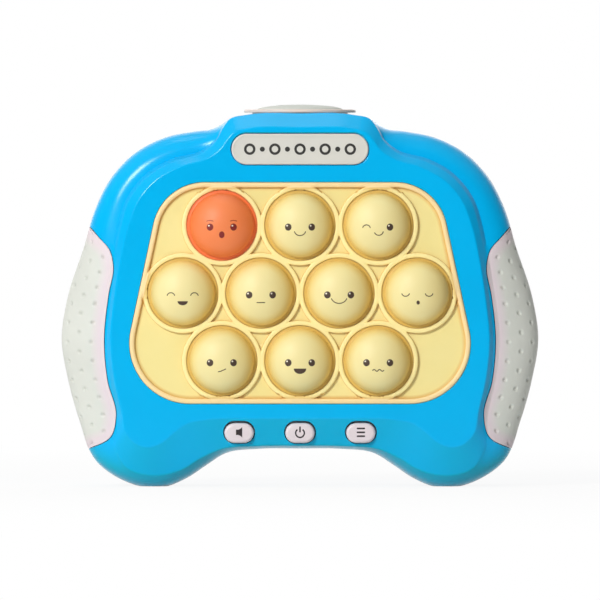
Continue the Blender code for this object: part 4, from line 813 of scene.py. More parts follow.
def body_rings(skin, grip_skin, steps, arcs, rounded=False):
    """The casing's rings from the face to the widest outline, then from there to the back."""
    under_grips = [1.0 if row in GRIP_ROWS else 0.0 for row in range(len(OUTLINE))]
    depths = [skin + grip_skin * share for share in blended(under_grips, steps)]
    bevels, drops = [blended([row[k] for row in OUTLINE], steps) for k in (4, 5)]
    count = len(depths)
    face = drawn_in(outline_column(0, steps), [skin] * count)
    platform, widest, back = [drawn_in(outline_column(k, steps), depths) for k in (1, 2, 3)]
    start = [a + (b - a) * SHOULDER_START for a, b in zip(platform, widest)]
    platform_y = [FACE_Y + BEVEL_DEPTH * bevel + depth for bevel, depth in zip(bevels, depths)]
    shoulder_y = [y + STEP_DEPTH * drop for y, drop in zip(platform_y, drops)]
    face_ring = at_depth(face, [FACE_Y + skin] * count)
    platform_ring = at_depth(platform, platform_y)
    start_ring = at_depth(start, shoulder_y)
    if rounded:
        inside = at_depth(drawn_in(face, [WALL] * count), [FACE_Y + skin] * count)
        rings = rounded_corner(inside, face_ring, platform_ring, CREASE_RADIUS)
        rings += rounded_corner(face_ring, platform_ring, start_ring, EDGE_RADIUS)
        rings.append(start_ring)
    else:
        rings = [face_ring, platform_ring, start_ring]
    for k in range(1, arcs + 1):
        u = k / arcs
        early = 3 * (1 - u) ** 2 * u
        late = 3 * (1 - u) * u ** 2
        share = early * SHOULDER_BEND + late + u ** 3
        points = [a + (b - a) * share for a, b in zip(start, widest)]
        rises = [early * (SHOULDER_SLOPE * (1 - drop)) + (late * SHOULDER_RUN + u ** 3)
                 for drop in drops]
        heights = [y + (SHOULDER_Y - y) * rise for y, rise in zip(shoulder_y, rises)]
        rings.append(at_depth(points, heights))
    rear = []
    rounding = BACK_Y - skin - ROUNDING_Y
    for sine, cosine in quarter_turn(arcs):
        points = [a + (b - a) * (1 - cosine) for a, b in zip(widest, back)]
        rear.append(at_depth(points, [ROUNDING_Y + rounding * sine] * count))
    return rings, rear


def inner_body(skin, grip_skin=GRIP_THICKNESS + GAP):
    """The casing's form drawn in all round by the skin, and by the grip skin more under the
    grips."""
    front, rear = body_rings(skin, grip_skin, INNER_STEPS, INNER_ARCS)
    return loft(front + rear)


def seam_rings(side):
    """Two rings at the parting line, the outer one chamfered in, on one side of it."""
    widest = outline_column(2, OUTER_STEPS)
    count = len(widest)
    edge_y = PARTING_Y + side * GAP / 2
    inner = drawn_in(widest, [SEAM_CHAMFER] * count)
    return [at_depth(widest, [edge_y + side * SEAM_CHAMFER] * count),
            at_depth(inner, [edge_y] * count)]


def grip_edge():
    """The grip's inner edge on the right, as smooth points in (x, z)."""
    edge = [Vector((x * HALF_WIDTH, z * BODY_HEIGHT)) for x, z in GRIP_EDGE]
    return smooth_curve(edge, GRIP_EDGE_STEPS, closed=False)


def grip_outline(edge):
    """The grip's edge on the right, closed by a line outside the casing, in (x, z)."""
    outer = HALF_WIDTH + OVERRUN
    return [(point.x, point.y) for point in edge] + [(outer, edge[-1].y), (outer, edge[0].y)]


def grip_prism(side, growth, back_y):
    """The space that one grip takes in the front view, larger all round by growth."""
    curve = grip_edge()
    moved = [point + Vector((forward.y, -forward.x)) * growth
             for point, forward in zip(curve, headings(curve))]
    return prism([(x * side, z) for x, z in grip_outline(moved)], FRONT_Y, back_y)


def grip_recess(side):
    return cut(grip_prism(side, GAP, GRIP_BACK_Y + GAP), inner_body(GRIP_THICKNESS + GAP, 0))


def quarter_round(outline_at, face_y, reach, steps, widening, side=1):
    """Rings of a rounded edge, which starts at the face and ends a reach behind it. At the
    face the outline is wider by the reach where widening is 1, and narrower where it is -1."""
    rings = []
    for sine, cosine in quarter_turn(steps):
        y = face_y + side * reach * (1 - cosine)
        outline = outline_at(widening * reach * (1 - sine))
        rings.append([Vector((x, y, z)) for x, z in outline])
    return rings


def moved_to(ring, y):
    return [Vector((p.x, y, p.z)) for p in ring]


def flared_hole(outline_at, face_y, end_y, side=1, reach=HOLE_FLARE):
    """A cutter whose outline widens towards the face, so that the hole's edge is round.
    outline_at gives the outline for an amount of growth; side is -1 for a hole in the back."""
    rings = quarter_round(outline_at, face_y, reach, FLARE_STEPS, 1, side)
    rings.insert(0, moved_to(rings[0], face_y - side * OVERRUN))
    rings.append(moved_to(rings[-1], end_y))
    return loft(rings)


def rounded_stack(outline_at, front_y, back_y, rounding):
    """A flat-faced piece with a rounded front edge; outline_at takes an amount of growth."""
    rings = quarter_round(outline_at, front_y, rounding, EDGE_STEPS, -1)
    rings.append(moved_to(rings[-1], back_y))
    return loft(rings)


# Shells


def fine_half(side):
    """One half of the casing, solid, with its parting edge chamfered."""
    front, rear = body_rings(0, 0, OUTER_STEPS, OUTER_ARCS, rounded=True)
    wide, narrow = seam_rings(side)
    solid = loft(front + [wide, narrow]) if side < 0 else loft([narrow, wide] + rear)
    reach = HALF_WIDTH + OVERRUN
    cut(solid, box((-reach, FRONT_Y - OVERRUN, -OVERRUN), (reach, BACK_Y + OVERRUN, 0)),
        grip_recess(1), grip_recess(-1))
    return cut(solid, inner_body(WALL))


def top_button_hole():
    outline = oval(0, TOP_CENTRE_Y, COLLAR_NECK[0] + GAP, COLLAR_NECK[1] + GAP, TOP_SIDES)
    return prism(outline, BODY_HEIGHT - WALL - OVERRUN, BODY_HEIGHT + OVERRUN, "Z")


def screw_places():
    return [(x * side, z) for x, z in SCREW_PLACES for side in (1, -1)]


def screw_rods(radius, start, end):
    """A rod on the axis of each of the casing's screws."""
    return [rod(radius, start, end, BOSS_SIDES, place) for place in screw_places()]


def make_front_shell(look):
    shell = fine_half(-1)
    plate = grown_stadium(0, PLATE_Z, PLATE_WIDTH / 2 + GAP, PLATE_HEIGHT / 2 + GAP, HOLE_SIDES)
    holes = [flared_hole(lambda growth: pad_outline(GAP + growth), FACE_Y,
                         FACE_Y + WALL + OVERRUN / 2, reach=PAD_FLARE),
             flared_hole(plate, FACE_Y, FACE_Y + PLATE_RECESS)]
    for x in KEY_XS:
        hole = stadium(x, KEY_Z, KEY_WIDTH / 2 + KEY_HOLE_GAP, KEY_HEIGHT / 2 + KEY_HOLE_GAP,
                       HOLE_SIDES)
        holes.append(prism(hole, FRONT_Y, KEY_BACK_Y + KEY_TRAVEL + GAP))
    cut(shell, gather(holes), top_button_hole())
    end_y = PARTING_Y - GAP / 2
    bosses = screw_rods(BOSS_RADIUS, FACE_Y + WALL / 2, end_y)
    bosses += [rod(KEY_POST_RADIUS, FACE_Y + BEVEL_DEPTH, KEY_BOARD_Y - GAP, PIN_SIDES,
                   (KEY_XS[-1] / 2 * side, KEY_Z)) for side in (1, -1)]
    fuse(shell, gather(bosses))
    cut(shell, gather(screw_rods(PILOT_RADIUS, end_y - PILOT_DEPTH, end_y + OVERRUN)))
    dress(shell, "front_casing", look, stands_for=["front_shell"],
          smooth_angle=40)


def make_rear_shell(look):
    shell = fine_half(1)
    root_y = BACK_Y - WALL / 2
    bay_x = BAY_HALF_WIDTH + BAY_SIDE_WALL
    speaker_place = (0, SPEAKER_Z)
    additions = [box((-bay_x, BAY_FRONT_Y - BAY_WALL, BAY_BOTTOM_Z - BAY_WALL),
                     (bay_x, root_y, BAY_CEILING_Z)),
                 rod(SPEAKER_RING_RADIUS, root_y - SPEAKER_RING_DEPTH, root_y, SPEAKER_SIDES,
                     speaker_place)]
    for side in (1, -1):
        x = TOP_RIB_X * side
        half = TOP_RIB_THICKNESS / 2
        additions.append(box((x - half, TOP_RIB_FRONT_Y, TOP_RIB_TOP_Z - TOP_RIB_HEIGHT),
                             (x + half, root_y, TOP_RIB_TOP_Z)))
    fuse(shell, gather(additions + screw_rods(WELL_RADIUS, PARTING_Y + GAP / 2, root_y)))
    seat_y = PARTING_Y + WELL_SEAT
    cutters = [box((-BAY_HALF_WIDTH, BAY_FRONT_Y, BAY_BOTTOM_Z),
                   (BAY_HALF_WIDTH, DOOR_LEDGE_Y, BAY_TOP_Z)),
               rod(SPEAKER_BORE_RADIUS, root_y - SPEAKER_RING_DEPTH - OVERRUN, BACK_Y - WALL,
                   SPEAKER_SIDES, speaker_place)]
    cutters += [flared_hole(grown_circle(x, z, WELL_BORE_RADIUS, HOLE_SIDES), BACK_Y, seat_y,
                            side=-1) for x, z in screw_places()]
    cut(shell, gather(cutters))
    cutters = [flared_hole(door_recess_outline, BACK_Y, DOOR_LEDGE_Y, side=-1)]
    cutters += screw_rods(SCREW_HOLE_RADIUS, PARTING_Y - OVERRUN, seat_y + GAP)
    for i in range(SLOT_COUNT):
        rise = SLOT_PITCH * (i - (SLOT_COUNT - 1) / 2)
        reach = math.sqrt(SLOT_REACH_RADIUS ** 2 - rise ** 2)
        slot = grown_stadium(0, SPEAKER_Z + rise, reach, SLOT_HALF_HEIGHT, SLOT_SIDES)
        cutters.append(flared_hole(slot, BACK_Y, BACK_Y - WALL - GAP, side=-1))
    cut(shell, gather(cutters))
    cut(shell,
        rod(DOOR_SCREW_PILOT_RADIUS, DOOR_INNER_Y - DOOR_SCREW_REACH - WALL,
            DOOR_LEDGE_Y + GAP / 2, BOSS_SIDES, (0, DOOR_SCREW_Z)),
        rod(WIRE_HOLE_RADIUS, BAY_FRONT_Y - BAY_WALL * 2, WIRE_HOLE_BACK_Y, PIN_SIDES,
            (-WIRE_HOLE_X, WIRE_HOLE_Z)),
        top_button_hole())
    dress(shell, "rear_casing", look, stands_for=["rear_shell"],
          smooth_angle=40)


def make_parting_tongue(look):
    """A thin tongue inside the parting line, so that no light shows through the gap."""
    reach = HALF_WIDTH + OVERRUN
    low = PARTING_Y - GAP / 2 + TONGUE_GAP
    high = PARTING_Y + GAP / 2 - TONGUE_GAP
    tongue = keep(inner_body(TONGUE_SKIN),
                  box((-reach, low, -OVERRUN), (reach, high, BODY_HEIGHT + OVERRUN)))
    cut(tongue, inner_body(WALL + TONGUE_SKIN / 2), top_button_hole())
    dress(tongue, "parting_tongue", look)


def door_recess_outline(growth):
    x = DOOR_HALF_WIDTH + DOOR_GAP + growth
    low = DOOR_BOTTOM_Z - DOOR_GAP - growth
    high = DOOR_TOP_Z + DOOR_GAP + growth
    return [(-x, low), (x, low), (x, high), (-x, high)]


# Grips


def grip_sheet():
    """The outer surface on the right with its dimples, as a thick sheet wider than the grip,
    its outer points, and how deep each of them is sunk."""
    steps = GRIP_GRID_STEPS
    arcs = GRIP_GRID_ARCS
    window = slice((GRIP_ROWS[0] - 1) * steps, (GRIP_ROWS[-1] + 1) * steps + 1)
    grids = []
    for skin in (0, GRIP_THICKNESS):
        front, rear = body_rings(skin, 0, steps, arcs)
        sections = front[1:] + filled(front[-1], rear[0], GRIP_SIDE_BANDS) + rear[:arcs // 2]
        grids.append([ring[window] for ring in sections])
    grid, inner_grid = grids
    rows = len(grid)
    columns = len(grid[0])
    upright = lengths_along(grid[rows // 2])
    edge = grip_edge()
    sunk_columns = []
    for column, height in zip(zip(*grid), upright):
        lengths = lengths_along(column)
        start = next((length for length, point in zip(lengths, column)
                      if point.x > edge_reach(edge, point.z)), 0.0)
        sunk_columns.append([dimple(length - start, height) for length in lengths])
    depths = [depth for row in zip(*sunk_columns) for depth in row]
    outer = []
    for j in range(rows):
        for i in range(columns):
            along_i = grid[j][min(i + 1, columns - 1)] - grid[j][max(i - 1, 0)]
            along_j = grid[min(j + 1, rows - 1)][i] - grid[max(j - 1, 0)][i]
            normal = along_i.cross(along_j).normalized()
            if normal.x < 0:
                normal = -normal
            outer.append(grid[j][i] - normal * depths[j * columns + i])
    inner = [point for ring in inner_grid for point in ring]
    faces = []
    count = len(outer)
    for j in range(rows - 1):
        for i in range(columns - 1):
            a = j * columns + i
            b = a + columns
            faces.append((a, a + 1, b + 1, b))
            faces.append((a + count, b + count, b + 1 + count, a + 1 + count))
    last = (rows - 1) * columns
    border = [j * columns for j in range(rows)] + [last + i for i in range(1, columns)]
    border += [(j + 1) * columns - 1 for j in range(rows - 2, -1, -1)]
    border += list(range(columns - 2, 0, -1))
    faces += [(a, b, b + count, a + count) for a, b in sides_of(border)]
    return add_solid(outer + inner, faces), outer, depths


def filled(first, last, bands):
    """Rings between two rings, evenly spaced."""
    return [[a + (b - a) * k / bands for a, b in zip(first, last)] for k in range(1, bands)]


def edge_reach(edge, z):
    """How far out the grip's inner edge lies at a height."""
    for start, end in zip(edge, edge[1:]):
        if min(start.y, end.y) <= z <= max(start.y, end.y):
            share = (z - start.y) / (end.y - start.y or 1)
            return start.x + (end.x - start.x) * share
    return edge[0].x if z > edge[0].y else edge[-1].x


def dimple(reach, upright):
    """How deep the grip's surface sinks at a distance from its inner edge and up its side."""
    column = max(round((reach - DIMPLE_FIRST) / DIMPLE_COLUMN_PITCH), 0)
    offset = DIMPLE_ROW_PITCH / 2 * (column % 2)
    row = round((upright - offset) / DIMPLE_ROW_PITCH)
    dx = reach - DIMPLE_FIRST - column * DIMPLE_COLUMN_PITCH
    dz = upright - offset - row * DIMPLE_ROW_PITCH
    distance = min(math.hypot(dx, dz) / DIMPLE_RADIUS, 1.0)
    return DIMPLE_DEPTH * (1 - distance ** 2) ** DIMPLE_POWER


def make_grips(look):
    sheet, surface, depths = grip_sheet()
    grip = keep(sheet, grip_prism(1, 0, GRIP_BACK_Y))
    other = mirrored_piece(grip)
    tree = KDTree(len(surface))
    for i, point in enumerate(surface):
        tree.insert(point, i)
    tree.balance()
    loop = grip_outline(grip_edge())
    for piece in (grip, other):
        points = [(abs(v.co.x), v.co.y, v.co.z) for v in piece.data.vertices]
        nearest = [tree.find(point) for point in points]
        set_values(piece, "from_edge", [distance_to(x, z, loop) for x, y, z in points])
        # How deep each point sinks in its dimple, kept for the painted shade there.
        set_values(piece, "sunk", [depths[i] / DIMPLE_DEPTH if distance < GAP else 0.0
                                   for place, i, distance in nearest])
    for name, piece in (("left_grip", other), ("right_grip", grip)):
        dress(piece, name + "_rubber", look, stands_for=[name],
              smooth_angle=60)


# Silicone panel


def rounded_bump(distance, half_width, height, power=RIM_POWER):
    """The height of a rounded rib at a distance from its middle line."""
    share = min(abs(distance) / half_width, 1.0)
    return height * (1 - share ** power) ** (1 / power)


def pad_height(x, z, depth, places):
    """The panel's height above its floor: the rim, the rings, or the floor itself."""
    height = 0.0
    if depth < PAD_RIM_WIDTH:
        middle = PAD_RIM_WIDTH / 2
        top = PAD_FLOOR_SUNK + PAD_RIM_PROUD
        shelf = PAD_RIM_SHELF if depth < middle else 0.0
        height = shelf + rounded_bump(depth - middle, middle, top - shelf)
    middle = RING_INNER_RADIUS + RING_WIDTH / 2
    for cx, cz in places:
        distance = math.hypot(x - cx, z - cz) - middle
        if abs(distance) < RING_WIDTH / 2:
            height = max(height, rounded_bump(distance, RING_WIDTH / 2,
                                              PAD_FLOOR_SUNK + RING_PROUD, RING_POWER))
    return height


def pad_points(places, loop):
    """Points all over the panel in (x, z), and the lines between them that its mesh has to
    follow: the outline and the ten holes."""
    points = []
    lines = []

    def add_ring(ring, own=None, follow=False):
        if follow:
            start = len(points)
            lines.extend((start + a, start + b) for a, b in sides_of(list(range(len(ring)))))
            points.extend(ring)
            return
        clear = RING_INNER_RADIUS * PAD_HOLE_MARGIN
        points.extend((x, z) for x, z in ring if inside_outline(x, z, loop)
                      and all(math.hypot(x - cx, z - cz) > clear
                              for cx, cz in places if (cx, cz) != own))

    for x, z in places:
        for share in PAD_STEPS:
            radius = RING_INNER_RADIUS + RING_WIDTH * share
            add_ring(oval(x, z, radius, radius, PAD_RING_SIDES), (x, z), follow=share == 0)
    for share in PAD_STEPS + PAD_FLOOR_STEPS:
        ring = pad_outline(PAD_FIT - PAD_RIM_WIDTH * share, PAD_CORNER_SIDES)
        add_ring(spaced(ring, PAD_RIM_SPACING), follow=share == 0)
    return points, lines


def make_bubble_pad(look):
    places = bubble_places()
    loop = pad_outline(PAD_FIT, PAD_CORNER_SIDES)
    outline = spaced(loop, PAD_RIM_SPACING)
    points, lines = pad_points(places, loop)
    result = delaunay_2d_cdt([Vector(p) for p in points], lines, [], 0, PAD_MERGE)
    flat = result[0]
    faces = []
    for face in result[2]:
        middle = sum((flat[i] for i in face), Vector((0, 0))) / len(face)
        in_hole = any(math.hypot(middle.x - x, middle.y - z) < RING_INNER_RADIUS * PAD_HOLE
                      for x, z in places)
        if not in_hole and inside_outline(middle.x, middle.y, outline):
            faces.append(tuple(face))
    depths = [distance_to(p.x, p.y, loop) for p in flat]
    top = [Vector((p.x, PAD_FLOOR_Y - pad_height(p.x, p.y, depth, places), p.y))
           for p, depth in zip(flat, depths)]
    back = [Vector((p.x, PAD_BACK_Y, p.y)) for p in flat]
    count = len(flat)
    sides = dict.fromkeys(side for face in faces for side in sides_of(face))
    all_faces = faces + [tuple(i + count for i in reversed(face)) for face in faces]
    all_faces += [(b, a, a + count, b + count) for a, b in sides if (b, a) not in sides]
    pad = add_solid(top + back, all_faces)
    # Share of the rim's width from the outline, which the material reads for the rim's peach
    # and for the painted shade at its foot.
    set_values(pad, "rim", [min(depth / PAD_RIM_WIDTH, 2.0) for depth in depths] * 2)
    shape = bmesh.new()
    shape.from_mesh(pad.data)
    loose = [v for v in shape.verts if not v.link_faces]
    bmesh.ops.delete(shape, geom=loose, context="VERTS")
    shape.to_mesh(pad.data)
    shape.free()
    lip = prism(pad_outline(PAD_LIP), PAD_BACK_Y - PAD_LIP_THICKNESS, PAD_BACK_Y)
    cut(lip, prism(pad_outline(-PAD_RIM_WIDTH), FRONT_Y, BACK_Y))
    dress(lip, "silicone_panel_lip", look)
    dress(pad, "silicone_panel", look, stands_for=["bubble_pad"],
          smooth_angle=50)


# Bubbles and their printed faces


def on_dome(x, z, lift):
    """A point above the dome's surface, at a place measured from the bubble's axis."""
    share = max(1 - (x * x + z * z) / DOME_FOOT_RADIUS ** 2, 0.0)
    return Vector((x, DOME_FOOT_Y - DOME_RISE * math.sqrt(share) - lift, z))


def revolved(profile, sides):
    """A closed round solid about the Y axis whose profile starts and ends on the axis."""
    points = [Vector((0, profile[0][1], 0)), Vector((0, profile[-1][1], 0))]
    rings = profile[1:-1]
    for radius, y in rings:
        points += [Vector((a, y, b)) for a, b in oval(0, 0, radius, radius, sides)]
    faces = []
    last = 2 + (len(rings) - 1) * sides
    for i in range(sides):
        j = (i + 1) % sides
        faces.append((0, 2 + i, 2 + j))
        faces.append((1, last + j, last + i))
        for k in range(len(rings) - 1):
            a = 2 + k * sides
            faces.append((a + i, a + sides + i, a + sides + j, a + j))
    return add_solid(points, faces)


def dome_solid():
    """A thin dome with a flange round its foot, from its crown down and back up inside."""
    profile = [(DOME_FOOT_RADIUS * cosine, DOME_FOOT_Y - DOME_RISE * sine)
               for sine, cosine in reversed(quarter_turn(DOME_STEPS))]
    drop = DOME_FLANGE_Y - DOME_FOOT_Y
    narrowing = DOME_FOOT_RADIUS - DOME_FLANGE_RADIUS
    profile += [(DOME_FLANGE_RADIUS + narrowing * cosine, DOME_FOOT_Y + drop * sine)
                for sine, cosine in quarter_turn(DOME_FLANGE_STEPS)[1:]]
    profile += [(DOME_FLANGE_RADIUS, DOME_FLANGE_Y + BUBBLE_WALL / 2),
                (BUBBLE_RADIUS, BUBBLE_HEM_Y), (DOME_INNER_RADIUS, BUBBLE_HEM_Y)]
    profile += [(DOME_INNER_RADIUS * cosine, DOME_FOOT_Y - (DOME_RISE - BUBBLE_WALL) * sine)
                for sine, cosine in quarter_turn(DOME_STEPS // 2)]
    return revolved(profile, DOME_SIDES)


def stroke(points, width=STROKE_WIDTH):
    """A printed line with round ends that follows the dome."""
    path = [Vector((x * MM, z * MM)) for x, z in points]
    half = width * MM
    ways = headings(path)
    ends = [(math.sin(math.radians(a)), math.cos(math.radians(a))) for a in STROKE_ENDS]
    stations = [(path[0] - ways[0] * half * s, ways[0], half * c) for s, c in reversed(ends)]
    stations += [(point, way, half) for point, way in zip(path, ways)]
    stations += [(path[-1] + ways[-1] * half * s, ways[-1], half * c) for s, c in ends]
    rings = []
    for point, way, reach in stations:
        normal = Vector((-way.y, way.x)) * reach
        a = point + normal
        b = point - normal
        rings.append([on_dome(p.x, p.y, lift) for p, lift in (
            (a, PRINT_PROUD), (point, PRINT_PROUD), (b, PRINT_PROUD), (b, -PRINT_SUNK),
            (a, -PRINT_SUNK))])
    return loft(rings)


def spot(x, z, half_width, half_height, lift=0.0, outline=None):
    """A printed filled shape that follows the dome: an oval, or an outline in (x, z) shares."""
    outline = outline or oval(0, 0, 1, 1, SPOT_SIDES)
    layers = [(share, -PRINT_SUNK) for share in (SPOT_SHARES[-1], SPOT_SHARES[0])]
    layers += [(share, PRINT_PROUD + lift) for share in SPOT_SHARES]
    return loft([[on_dome((x + a * half_width * share) * MM, (z + b * half_height * share) * MM,
                          depth) for a, b in outline] for share, depth in layers])


def arc(x, z, radius_x, radius_z, start, end):
    """Points on an oval arc, its angles in degrees from straight up, clockwise."""
    angles = [math.radians(start + (end - start) * i / ARC_STEPS) for i in range(ARC_STEPS + 1)]
    return [(x + radius_x * math.sin(t), z + radius_z * math.cos(t)) for t in angles]


def bowl_outline():
    """A D-shaped mouth, flat on top, in shares of its half width and half height."""
    angles = [math.pi * i / BOWL_STEPS for i in range(1, BOWL_STEPS)]
    flat = [(share, 0.5) for share in (-1.0, -0.5, 0.0, 0.5, 1.0)]
    return flat + [(math.cos(t), 0.5 - 1.5 * math.sin(t)) for t in angles]


def mouth(kind, values):
    if kind == "spot":
        x, half_width, half_height = values
        return spot(x, MOUTH_Z, half_width, half_height)
    if kind == "bowl":
        half_width, depth = values
        return spot(0, MOUTH_Z, half_width, depth / 2, outline=bowl_outline())
    if kind == "arc":
        x, rise, *form = values
        return stroke(arc(x, MOUTH_Z + rise, *form))
    return stroke([(x, MOUTH_Z + rise) for x, rise in values])


def face_parts(left, right, brows, kind, values):
    """Dark and light shapes of one plain face: two eyes and a mouth in a few strokes."""
    dark = []
    light = []
    for side, eye in ((-1, left), (1, right)):
        x = EYE_X * side
        if eye == "open":
            dark.append(spot(x, EYE_Z, *EYE_SIZE))
            light.append(spot(x + GLINT_PLACE[0], EYE_Z + GLINT_PLACE[1], *GLINT_SIZE,
                              lift=PRINT_PROUD))
        else:
            rise, *form = LIDS[eye]
            dark.append(stroke(arc(x, EYE_Z + rise, *form)))
        if brows:
            dark.append(stroke([(x + a, EYE_Z + b) for a, b in BROW], BROW_WIDTH))
    return dark + [mouth(kind, values)], light


def make_bubbles(looks):
    dome = dome_solid()
    for number, ((x, z), face) in enumerate(zip(bubble_places(), FACES), start=1):
        lit = "lit_" if number == 1 else ""
        body = "bubble_%02d" % number
        copy = add_object(body + "_dome", dome.data.copy())
        copy.location = (x, 0, z)
        dress(copy, body + "_dome", looks[lit + "bubble"], body,
              [body])
        dark, light = face_parts(*face)
        for pieces, name, look in ((dark, "_print", lit + "ink"),
                                   (light, "_print_glint", "pale_ink")):
            if pieces:
                group = gather(pieces)
                group.location = (x, 0, z)
                dress(group, body + name, looks[look], body)
    bpy.data.objects.remove(dome, do_unlink=True)


# Name plate, keys and top button


def make_name_plate(looks):
    outline = grown_stadium(0, PLATE_Z, PLATE_WIDTH / 2, PLATE_HEIGHT / 2, MARK_SIDES)
    front_y = FACE_Y - PLATE_PROUD
    floor_y = front_y + PLATE_SUNK
    plate = rounded_stack(outline, front_y, FACE_Y + PLATE_RECESS - GAP, PLATE_ROUNDING)
    cut(plate, prism(outline(-PLATE_BORDER), FRONT_Y, floor_y))
    dress(plate, "name_plate_blank", looks["plate"],
          stands_for=["name_plate"], smooth_angle=30)
    marks = []
    for i in range(PLATE_MARKS):
        place = (PLATE_MARK_PITCH * (i - PLATE_MARKS // 2), PLATE_Z)
        ring = i % 2 == 0
        radius = PLATE_MARK_RADIUS if ring else PLATE_MARK_RADIUS * PLATE_SMALL
        mark = rod(radius, floor_y - PRINT_PROUD, floor_y + PRINT_SUNK, MARK_SIDES, place)
        if ring:
            cut(mark, rod(radius * PLATE_RING, front_y, FACE_Y, MARK_SIDES, place))
        marks.append(mark)
    dress(gather(marks), "name_plate_dots", looks["plate_ink"])


def key_symbol(name, x):
    """A plain symbol on a key's face: a loudspeaker, the power mark or three bars."""
    if name == "volume_key":
        outlines = [[(a, -b) for a, b in SOUND_SIGN] + list(SOUND_SIGN[::-1])]
    elif name == "power_key":
        turn = 360 - 2 * POWER_START
        angles = [math.radians(POWER_START + turn * i / POWER_STEPS)
                  for i in range(POWER_STEPS + 1)]
        ring, inner = [[(radius * math.sin(t), radius * math.cos(t) - POWER_LOW)
                        for t in angles] for radius in POWER_RADII]
        outlines = [ring + inner[::-1], POWER_BAR]
    else:
        outlines = [stadium(0, rise, *MENU_BAR) for rise in MENU_RISES]
    return [prism([(x + a * MM, KEY_Z + b * MM) for a, b in outline],
                  KEY_FRONT_Y - PRINT_PROUD, KEY_FRONT_Y + PRINT_SUNK) for outline in outlines]


def make_keys(looks):
    for name, x in zip(("volume_key", "power_key", "menu_key"), KEY_XS):
        outline = grown_stadium(x, KEY_Z - KEY_LOW, KEY_WIDTH / 2, KEY_HEIGHT / 2 - KEY_SHORT,
                                HOLE_SIDES)
        key = rounded_stack(outline, KEY_FRONT_Y, KEY_BACK_Y, KEY_ROUNDING)
        half = KEY_WIDTH / 2 + KEY_FLANGE
        fuse(key, box((x - half, KEY_BACK_Y - KEY_FLANGE_THICKNESS, KEY_Z - KEY_FLANGE_DROP),
                      (x + half, KEY_BACK_Y, KEY_Z + KEY_HEIGHT / 2 + KEY_FLANGE)))
        dress(key, name + "_cap", looks["key"], name, [name])
        dress(gather(key_symbol(name, x)), name + "_symbol", looks["key_ink"], name)


def top_oval(half_sizes, z, growth=0.0, share=1.0):
    """A level ring of the top button or its collar, made larger all round or scaled."""
    half_width, half_depth = [(size + growth) * share for size in half_sizes]
    outline = oval(0, TOP_CENTRE_Y, half_width, half_depth, TOP_SIDES)
    return [Vector((x, y, z)) for x, y in outline]


def make_top_button(looks):
    rings = []
    quarter = quarter_turn(COLLAR_STEPS)
    for half_sizes, side in ((COLLAR_HALF, -1), (COLLAR_BORE, 1)):
        for sine, cosine in quarter[::-side]:
            rings.append(top_oval(half_sizes, COLLAR_TOP_Z - COLLAR_ROUNDING * (1 - sine),
                                  growth=side * COLLAR_ROUNDING * (1 - cosine)))
    rings += [top_oval(COLLAR_BORE, COLLAR_NECK_Z), top_oval(COLLAR_NECK, COLLAR_NECK_Z),
              top_oval(COLLAR_NECK, COLLAR_BASE_Z), top_oval(COLLAR_HALF, COLLAR_BASE_Z)]
    dress(loft(rings, closed=True), "top_button_ring", looks["collar"],
          stands_for=["top_button_collar"], smooth_angle=40)

    rings = []
    for step in range(TOP_BUTTON_STEPS + 1):
        t = TOP_BUTTON_TURN * (1 - step / TOP_BUTTON_STEPS)
        rings.append(top_oval(TOP_BUTTON_HALF,
                              TOP_BUTTON_TOP_Z - TOP_BUTTON_CROWN * (1 - math.sin(t)),
                              share=math.cos(t)))
    rings += [top_oval(TOP_BUTTON_HALF, TOP_FLANGE_TOP_Z),
              top_oval(TOP_BUTTON_HALF, TOP_FLANGE_TOP_Z, growth=TOP_BUTTON_FLANGE),
              top_oval(TOP_BUTTON_HALF, TOP_FLANGE_BOTTOM_Z, growth=TOP_BUTTON_FLANGE)]
    button = loft(rings)
    stem_root = TOP_FLANGE_BOTTOM_Z + TOP_BUTTON_FLANGE_THICKNESS / 2
    fuse(button, rod(TOP_STEM_RADIUS, TOP_STEM_Z, stem_root, BOSS_SIDES, (0, TOP_CENTRE_Y),
                     "Z"))
    dress(button, "top_button_cap", looks["top_button"], "top_button",
          ["top_button"], smooth_angle=40)


def make_top_button_spring(look):
    """A round wire coil as tall as the frame's spring, which the top button presses down."""
    low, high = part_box("top_button_spring")
    wire = SPRING_WIRE / 2
    rings = []
    count = SPRING_TURNS * SPRING_POINTS
    for i in range(count + 1):
        turn = math.tau * i / SPRING_POINTS
        z = low[2] + wire + (high[2] - low[2] - SPRING_WIRE) * i / count
        ring = []
        for k in range(SPRING_SIDES):
            angle = math.tau * k / SPRING_SIDES
            radius = SPRING_RADIUS + wire * math.cos(angle)
            ring.append(Vector((radius * math.cos(turn), TOP_CENTRE_Y + radius * math.sin(turn),
                                z + wire * math.sin(angle))))
        rings.append(ring)
    spring = dress(loft(rings), "top_button_coil", look,
                   stands_for=["top_button_spring"])
    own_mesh(spring)


